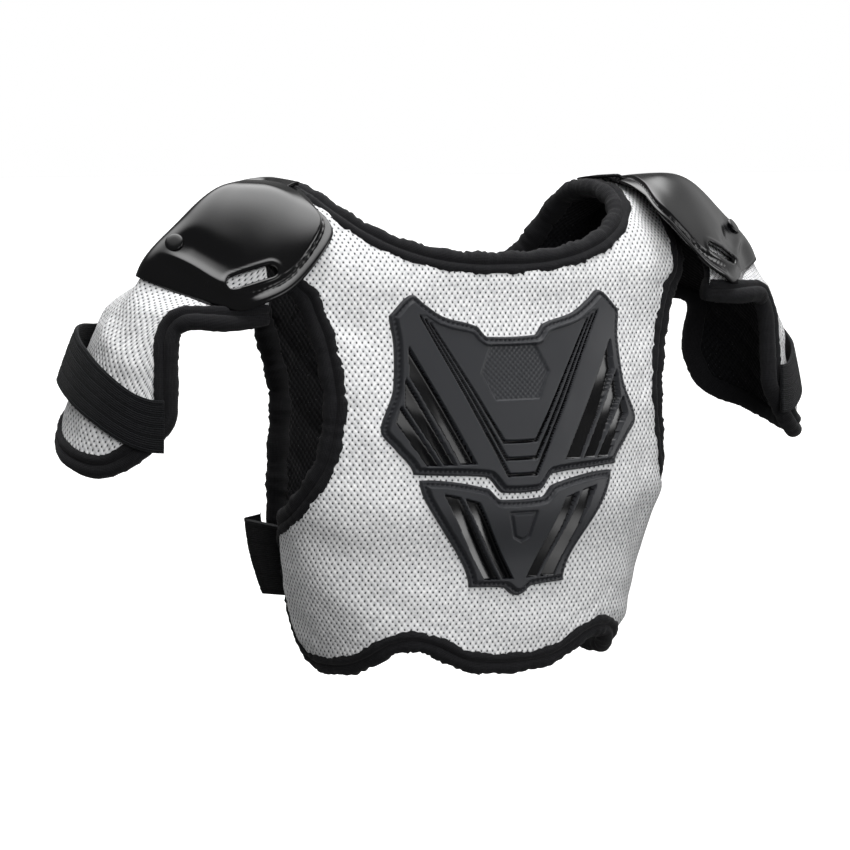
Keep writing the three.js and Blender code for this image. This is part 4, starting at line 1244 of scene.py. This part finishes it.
def sleeve_folds(u, v, share, top, rows):
    """The strap draws the flap in along its course, and the cloth rises on both sides of it in
    small folds that fade towards the edges."""
    j = np.arange(rows)[:, None]
    down = v[top:top + 1] - v
    course = track(ARM_STRAP_LIE, np.clip((share + 1) / 2, 0, 1)) * CUP_REACH
    off = down - course
    grip = bell(off, 0, GRIP_WIDE) * smooth_step(1.15, 0.8, np.abs(share))
    bulge = sum(bell(off, place_off, BULGE_WIDE) for place_off in (BULGE_OFF, -BULGE_OFF))
    bulge = bulge * smooth_step(1.1, 0.7, np.abs(share))
    fold = 0.8 * wrinkles(31, u, v, 30, 1.4) + 0.4 * wrinkles(32, u, v, 13, 1.2)
    edge = smooth_step(0, 8, np.minimum(rows - 1 - j, 60)) * smooth_step(top - 4, top + 8, j)
    edge = edge * smooth_step(2, 1.86, np.abs(share))
    side = smooth_step(1.0, 0.9, np.abs(share))
    return edge * side * (BULGE * bulge - GRIP * grip + fold * (1 - grip))


ARM_STRAP_LIE = [[0, 0.93, 0], [0.3, 0.72, 0.1], [0.55, 0.55, 0.7], [0.68, 0.5, 1],
                 [0.85, 0.48, 0.5], [1, 0.48, 0]]
sleeve_points, sleeve_normal, sleeve_share, sleeve_top = sleeve_net()
middle_column = len(sleeve_share) // 2
sleeve_u, sleeve_down = arc_lengths(sleeve_points, middle_column)
sleeve_v = -sleeve_down[:, middle_column:middle_column + 1] + 0 * sleeve_u
rows_in_sleeve = len(sleeve_points)
lift = sleeve_folds(sleeve_u, sleeve_v, sleeve_share[None, :], sleeve_top, rows_in_sleeve)
rim_cells = np.minimum(rows_in_sleeve - 1 - np.arange(rows_in_sleeve)[:, None],
                       (FLAP_COLUMNS // 2 - np.abs(np.arange(len(sleeve_share))
                                                   - middle_column))[None, :])
inner_lift = smooth_step(0, 6, rim_cells) * quilted(sleeve_u, sleeve_v, SLEEVE_QUILT, 1.4)
sleeve_outer = sleeve_points + sleeve_normal * lift[..., None]
sleeve_inner = sleeve_points - sleeve_normal * (SLEEVE_PAD + inner_lift)[..., None]
cell = np.ones((rows_in_sleeve - 1, len(sleeve_share) - 1), bool)
cell[sleeve_top:, :ARM_COLUMNS] = False
cell[sleeve_top:, ARM_COLUMNS + FLAP_COLUMNS:] = False

# The cloth and its binding turn from the yoke into the flap in an arc of this radius.
CORNER = 25.0
CORNERS = []
# Each corner: its column, direction away from the flap, and the steps of a row and a column.
for column, end, hem_share, out in ((ARM_COLUMNS, 0, 0, -1),
                                    (ARM_COLUMNS + FLAP_COLUMNS, -1, 1, 1)):
    row_step = float(track(SLEEVE_HEM, hem_share)) * CUP_REACH / FLAP_ROWS
    column_step = abs(sleeve_u[sleeve_top, column] - sleeve_u[sleeve_top, end]) / ARM_COLUMNS
    CORNERS.append((column, out, row_step, column_step))
    below = (np.arange(cell.shape[0])[:, None] + 0.5 - sleeve_top) * row_step
    beside = (np.arange(cell.shape[1])[None, :] + 0.5 - column) * out * column_step
    near_corner = (below > 0) & (beside > 0) & (below < CORNER) & (beside < CORNER)
    cell |= near_corner & (np.hypot(CORNER - below, CORNER - beside) > CORNER)
sleeve_quads = net(rows_in_sleeve, len(sleeve_share), cell)
corner = sleeve_points.reshape(-1, 3)[sleeve_quads]
facing = np.cross(corner[:, 2] - corner[:, 0], corner[:, 3] - corner[:, 1])
if (facing * sleeve_normal.reshape(-1, 3)[sleeve_quads[:, 0]]).sum() < 0:
    sleeve_quads = sleeve_quads[:, ::-1]
sleeve_uv = np.stack([sleeve_u, sleeve_v], axis=-1).reshape(-1, 2)

for name, side in SIDES.items():
    outer, inner = sleeve_outer.reshape(-1, 3), sleeve_inner.reshape(-1, 3)
    used = np.unique(sleeve_quads)
    number = np.full(len(outer), -1)
    number[used] = np.arange(len(used))
    quads = number[sleeve_quads]
    if side < 0:
        outer, inner, quads = flip_x(outer), flip_x(inner), quads[:, ::-1]
    points = np.vstack([swung(outer[used], side), swung(inner[used], side)])
    piece = sewn(f"sleeve_mesh_{name}", points, quads, sleeve_uv[used], [MESH_CLOTH, LINING])
    place(piece, "spacer_mesh", f"sleeve_{name}")

# %% The sleeves' binding
def between(values, rows, columns):
    """Net values at places given in rows and columns with fractions, by the four around."""
    j = np.clip(rows.astype(int), 0, values.shape[0] - 2)
    i = np.clip(columns.astype(int), 0, values.shape[1] - 2)
    b, a = (rows - j)[:, None], (columns - i)[:, None]
    return ((values[j, i] * (1 - a) + values[j, i + 1] * a) * (1 - b)
            + (values[j + 1, i] * (1 - a) + values[j + 1, i + 1] * a) * b)


def sleeve_path():
    """Rows and columns along the front of the yoke, through an arc into the flap's front edge,
    along the hem, up the back edge and through an arc to the back of the yoke."""
    turn = np.linspace(0, math.pi / 2, 14)
    beside, below = CORNER * (1 - np.sin(turn)), CORNER * (1 - np.cos(turn))
    bottom = rows_in_sleeve - 1.0
    rows, columns = [], []
    for column, out, row_step, column_step in CORNERS:
        arc_rows = sleeve_top + below / row_step
        arc_columns = column + out * beside / column_step
        level = np.linspace(0 if out < 0 else len(sleeve_share) - 1, arc_columns[0], 16)[:-1]
        edge = np.linspace(arc_rows[-1], bottom, 40)[1:]
        rows.append(np.concatenate([0 * level + sleeve_top, arc_rows, edge]))
        columns.append(np.concatenate([level, arc_columns, 0 * edge + column]))
    hem = np.arange(ARM_COLUMNS + 1, ARM_COLUMNS + FLAP_COLUMNS)
    return (np.concatenate([rows[0], 0 * hem + bottom, rows[1][::-1]]),
            np.concatenate([columns[0], hem, columns[1][::-1]]))


def sleeve_edge(values):
    """Net values along the sleeve's bound edge."""
    return between(values, *sleeve_path())


sleeve_middle = sleeve_points - sleeve_normal * SLEEVE_PAD / 2
for name, side in SIDES.items():
    path, normal = sleeve_edge(sleeve_middle), sleeve_edge(sleeve_normal)
    if side < 0:
        path, normal = flip_x(path), flip_x(normal)
    pivot = np.array([0, 0, CUP_TOP])
    normal = swung(normal + pivot, side) - pivot
    piece = binding(f"sleeve_binding_tape_{name}", swung(path, side), normal, float(side), False,
                    11, strength=0.4)
    place(piece, "binding_tape", f"sleeve_binding_{name}")

# %% [markdown]
# ## Elastic straps
# A wide strap closes each sleeve and another joins front and back at each side. Elastic is a
# flat band with rounded edges, so a band's section, with five shallow grooves, is laid along
# the strap's course at its place across.

# %% A band's section
STRAP_THICK = 2.5
BAND_COUNT = 44
BAND_GROOVES = (-0.9, -0.45, 0, 0.45, 0.9)  # in shares of the half width


def band_section(width):
    """Places across and heights round a flat band: a rectangle with round edges, whose outer
    face has a shallow groove near each edge and three more between."""
    half = width / 2 - STRAP_THICK / 2
    across = np.linspace(-half, half, BAND_COUNT)
    groove = sum(bell(across, k * half, 0.5) for k in BAND_GROOVES)
    top = np.stack([across, STRAP_THICK - 0.35 * groove], axis=1)
    turn = np.linspace(math.pi / 2, -math.pi / 2, 9)[1:-1]
    edge = np.stack([half + STRAP_THICK / 2 * np.cos(turn),
                     STRAP_THICK / 2 * (1 + np.sin(turn))], axis=1)
    low = np.stack([across[::-3], 0 * across[::-3]], axis=1)
    return np.vstack([top, edge, low, edge[::-1] * [-1, 1]])


def strap(name, lie, width, columns, side, swing, waves):
    """Each section point goes to the course's surface at its place across, raised by its
    height along the normal. Low waves across the band come from the cloth's pull."""
    section = band_section(width)
    share = np.linspace(0, 1, columns + 1)[:, None]
    places, normal = lie(share, section[None, :, 0])
    length = arc_lengths(places, 0)[1]
    height = section[None, :, 1] + waves(length, section[None, :, 0])
    points = places + normal * height[..., None]
    rows, count = points.shape[:2]
    faces = net(rows, count, looped=True).reshape(-1, 4)
    # The band's faces and its two ends are turned so that they look outward.
    corner = points.reshape(-1, 3)[faces[count // 5]]
    if np.dot(np.cross(corner[2] - corner[0], corner[3] - corner[1]),
              normal[0, count // 5]) < 0:
        faces = faces[:, ::-1]
    ends = [list(range(count)), list(range((rows - 1) * count, rows * count))]
    first = points[0]
    if np.dot(np.cross(first[0] - first[12], first[24] - first[12]), points[1, 0] - first[0]) > 0:
        ends[0] = ends[0][::-1]
    else:
        ends[1] = ends[1][::-1]
    faces = faces.tolist() + ends
    uv = np.stack([length, np.broadcast_to(section[None, :, 0], length.shape)], axis=-1)
    points = points.reshape(-1, 3)
    if side < 0:
        points, faces = flip_x(points), [face[::-1] for face in faces]
    if swing:
        points = swung(points, side)
    return make(name, points, faces, [ELASTIC], uv.reshape(-1, 2))


# %% Arm straps
ARM_STRAP = 32.0
ARM_STRAP_END = 1.05
ARM_STRAP_SEAT = 3.1
ARM_STRAP_LIFT = 5.0
ARM_MIDDLE_Y = -20


def arm_course(share, across):
    """The strap's middle keeps to its table below the yoke. It lies on the flap, stands off it
    where the arm is adjusted, and both its ends lie on the binding."""
    turn = (share * 2 - 1) * ARM_STRAP_END + 0 * across
    round_flap = np.clip((turn + 1) / 2, 0, 1)
    z = YOKE_LOW - track(ARM_STRAP_LIE, round_flap) * CUP_REACH + across
    normal = normals(lambda a, b: sleeve_section(b, a), turn, z)
    outward = (sleeve_section(z, turn) - [CUP_X, ARM_MIDDLE_Y, 0]) * [1, 1, 0]
    normal = np.where((normal * outward).sum(axis=-1)[..., None] < 0, -normal, normal)
    off = ARM_STRAP_SEAT + track(ARM_STRAP_LIE, round_flap, 2) * ARM_STRAP_LIFT
    return sleeve_section(z, turn) + normal * off[..., None], normal


for name, side in SIDES.items():
    piece = strap(f"arm_elastic_{name}", arm_course, ARM_STRAP, 90, side, True,
                  lambda s, t: 0.18 * np.sin(s / 5.1 + 0.3 * np.sin(t / 5)))
    place(piece, "elastic", f"arm_strap_{name}")

# %% Side straps
SIDE_STRAP = 48.0
SIDE_STRAP_UP = 64.0
SIDE_STRAP_RISE = 6.0
FRONT_SEAT, BACK_SEAT = -13.4, 3.2
SIDE_COURSE = [("front", 0.8, 0), ("front", 1, 0), ("front", 1.24, 0), ("back", 0.64, 3.5),
               ("back", 0.52, 2.5), ("back", 0.36, 0)]


def through(points, share):
    """A centripetal Catmull-Rom curve: knots are spaced by the square root of each chord, and
    a cubic with the three-point slopes runs between them. The ends go on straight."""
    before, after = 2 * points[0] - points[1], 2 * points[-1] - points[-2]
    whole_line = np.concatenate([before[None], points, after[None]])
    spans = np.linalg.norm(np.diff(whole_line, axis=0), axis=-1).mean(axis=-1) ** 0.5
    slopes = []
    for k in range(1, len(whole_line) - 1):
        a, b, c = whole_line[k - 1:k + 2]
        one, two = spans[k - 1], spans[k]
        slopes.append((b - a) / one - (c - a) / (one + two) + (c - b) / two)
    place_in = share * (len(points) - 1)
    k = np.minimum(place_in.astype(int), len(points) - 2)
    t = (place_in - k)[..., None]
    span = spans[k + 1][..., None]
    slopes = np.array(slopes)
    a, b, m, n = points[k], points[k + 1], slopes[k] * span, slopes[k + 1] * span
    return ((2 * t**3 - 3 * t**2 + 1) * a + (t**3 - 2 * t**2 + t) * m
            + (3 * t**2 - 2 * t**3) * b + (t**3 - t**2) * n)


def side_course(share, across):
    """From inside the front panel's edge to outside the back panel's, through six places each
    at its own seat off the panel, rising a little towards the back."""
    across = np.asarray(across).reshape(-1)
    z = SIDE_STRAP_UP - HEIGHT + across
    stops = []
    for panel_side, turn_share, bow in SIDE_COURSE:
        turn = np.full(z.shape, turn_share * math.pi / 2)
        level = (z - ARCH_Z) / (HEIGHT + ARCH_Z)
        flip = 1.0 if panel_side == "front" else -1.0
        normal = normals(lambda a, b: vest(panel_side, a, b), turn, level, flip)
        seat = FRONT_SEAT if panel_side == "front" else BACK_SEAT
        stops.append(vest(panel_side, turn, level) + normal * (seat + bow))
    stops = np.array(stops)
    places = np.stack([through(stops[:, k:k + 1], share[:, 0])[:, 0] for k in range(len(z))],
                      axis=1)
    places[..., 2] += SIDE_STRAP_RISE * share
    return places, grid_normals(places, (1, 0, 0))


for name, side in SIDES.items():
    piece = strap(f"side_elastic_{name}", side_course, SIDE_STRAP, 70, side, False,
                  lambda s, t: 0.25 * np.sin(s / 6.0 + 0.4 * np.sin(t / 7)))
    place(piece, "elastic", f"side_strap_{name}")

# %% [markdown]
# ## Studio and camera
# The guard hangs in the air as if worn, so the floor is well below it and the backdrop is white.
# Two softboxes, one overhead and one in front, light the cloth. Gloss doesn't see them: it sees
# four soft lobes of light in the world, which were placed to match the photograph's highlights on
# the cups and louvres. The lens is long, as for a catalogue picture.

# %% Floor and lamps
FLOOR_Z = -0.62
WIDE = 40.0
floor_mesh = bpy.data.meshes.new("studio_floor")
corners = [(-WIDE, -WIDE), (WIDE, -WIDE), (WIDE, WIDE), (-WIDE, WIDE)]
floor_mesh.from_pydata([(x, y, FLOOR_Z) for x, y in corners], [], [(0, 1, 2, 3)])
floor = add_object("studio_floor", floor_mesh)
# Matte white vinyl sheet, lit from inside a little, as a light table is.
paper, _, _ = new_material("matte_white_vinyl", Roughness=0.95, Base_Color=linear("#F4F4F4"),
                           Emission_Color=(1.0, 1.0, 1.0, 1.0), Emission_Strength=0.75)
floor_mesh.materials.append(paper)
floor.visible_glossy = floor.visible_diffuse = False

for name, stand, size, power_in_watts in (("overhead_softbox", (-0.1, -0.6, 1.8), 1.4, 33),
                                          ("key_softbox", (-0.5, -2.7, 0.55), 1.5, 52)):
    data = bpy.data.lights.new(name, "AREA")
    data.energy, data.size = power_in_watts, size
    light = add_object(name, data)
    light.location = stand
    aim = mathutils.Vector((0, 0, -0.12)) - mathutils.Vector(stand)
    light.rotation_euler = aim.to_track_quat("-Z", "Y").to_euler()
    light.visible_glossy = False

# %% World
# Each lobe: the direction it comes from, the cosines of the angles from that direction where it
# ends and where it is full, and its strength. A sheet overhead, a wide dim one at the wearer's
# left, a small bright one at the front left, and a small one in front.
LOBES = (((0.05, 0.17, 0.984), 0.66, 0.97, 5.6), ((0.95, 0.1, 0.3), 0.68, 1.0, 0.55),
         ((0.8, -0.6, 0.03), 0.93, 0.996, 5.0), ((0.02, -1.0, 0.0), 0.95, 0.998, 2.6))
LOBE_BASE = 0.04
SMOOTH = {"interpolation_type": "SMOOTHSTEP"}
world = bpy.data.worlds.new("studio")
bpy.context.scene.world = world
world.use_nodes = True
sky = world.node_tree
sky.nodes.clear()
towards_sky = add_node(sky, "ShaderNodeTexCoord").outputs["Generated"]
axes = add_node(sky, "ShaderNodeSeparateXYZ", {0: towards_sky})
above = remap(sky, axes.outputs["Z"], 0.25, 1.0, 0.05, 0.95, **SMOOTH)
behind = remap(sky, axes.outputs["Y"], 0.2, 0.95, 0.0, 0.8, **SMOOTH)
shade = maths(sky, "MAXIMUM", above, behind)
mirrored = 0.0
for towards, outer_edge, core, strength in LOBES:
    facing = vector_maths(sky, "DOT_PRODUCT", {0: towards_sky, 1: towards}).outputs["Value"]
    lobe = remap(sky, facing, outer_edge, core, LOBE_BASE, strength, **SMOOTH)
    mirrored = maths(sky, "ADD", mirrored, lobe)
ray = add_node(sky, "ShaderNodeLightPath").outputs
chosen = add_node(sky, "ShaderNodeMix", {0: ray["Is Glossy Ray"], 2: shade, 3: mirrored},
                  data_type="FLOAT").outputs[0]
level = maths(sky, "MAXIMUM", ray["Is Camera Ray"], chosen)
glow = add_node(sky, "ShaderNodeBackground", {"Color": (1, 1, 1, 1), "Strength": level})
add_node(sky, "ShaderNodeOutputWorld", {"Surface": glow.outputs[0]})
bpy.context.scene.view_settings.view_transform = "Standard"

# %% Camera
# Found from the photograph: 28 degrees to the wearer's right and 5.5 degrees up, from 2 m.
AZIMUTH, RISE, DISTANCE = math.radians(-28.0), math.radians(5.5), 2.0
TARGET = np.array([0.0, 0.020, -0.150])
LENS_PIXELS, PICTURE_WIDE = 3030.0, 850.0
back = np.array([math.sin(AZIMUTH) * math.cos(RISE), -math.cos(AZIMUTH) * math.cos(RISE),
                 math.sin(RISE)])
right = np.array([math.cos(AZIMUTH), math.sin(AZIMUTH), 0.0])
upward = np.cross(back, right)
camera_data = bpy.data.cameras.new("camera")
camera_data.sensor_width = 36.0
camera_data.lens = LENS_PIXELS / PICTURE_WIDE * camera_data.sensor_width
camera = add_object("camera", camera_data)
eye = TARGET + DISTANCE * back
camera.matrix_world = mathutils.Matrix([[right[k], upward[k], back[k], eye[k]]
                                        for k in range(3)] + [[0, 0, 0, 1]])
bpy.context.scene.camera = camera
print("camera at", eye.round(3), "m, lens", round(camera_data.lens, 1), "mm")

bpy.context.view_layer.update()
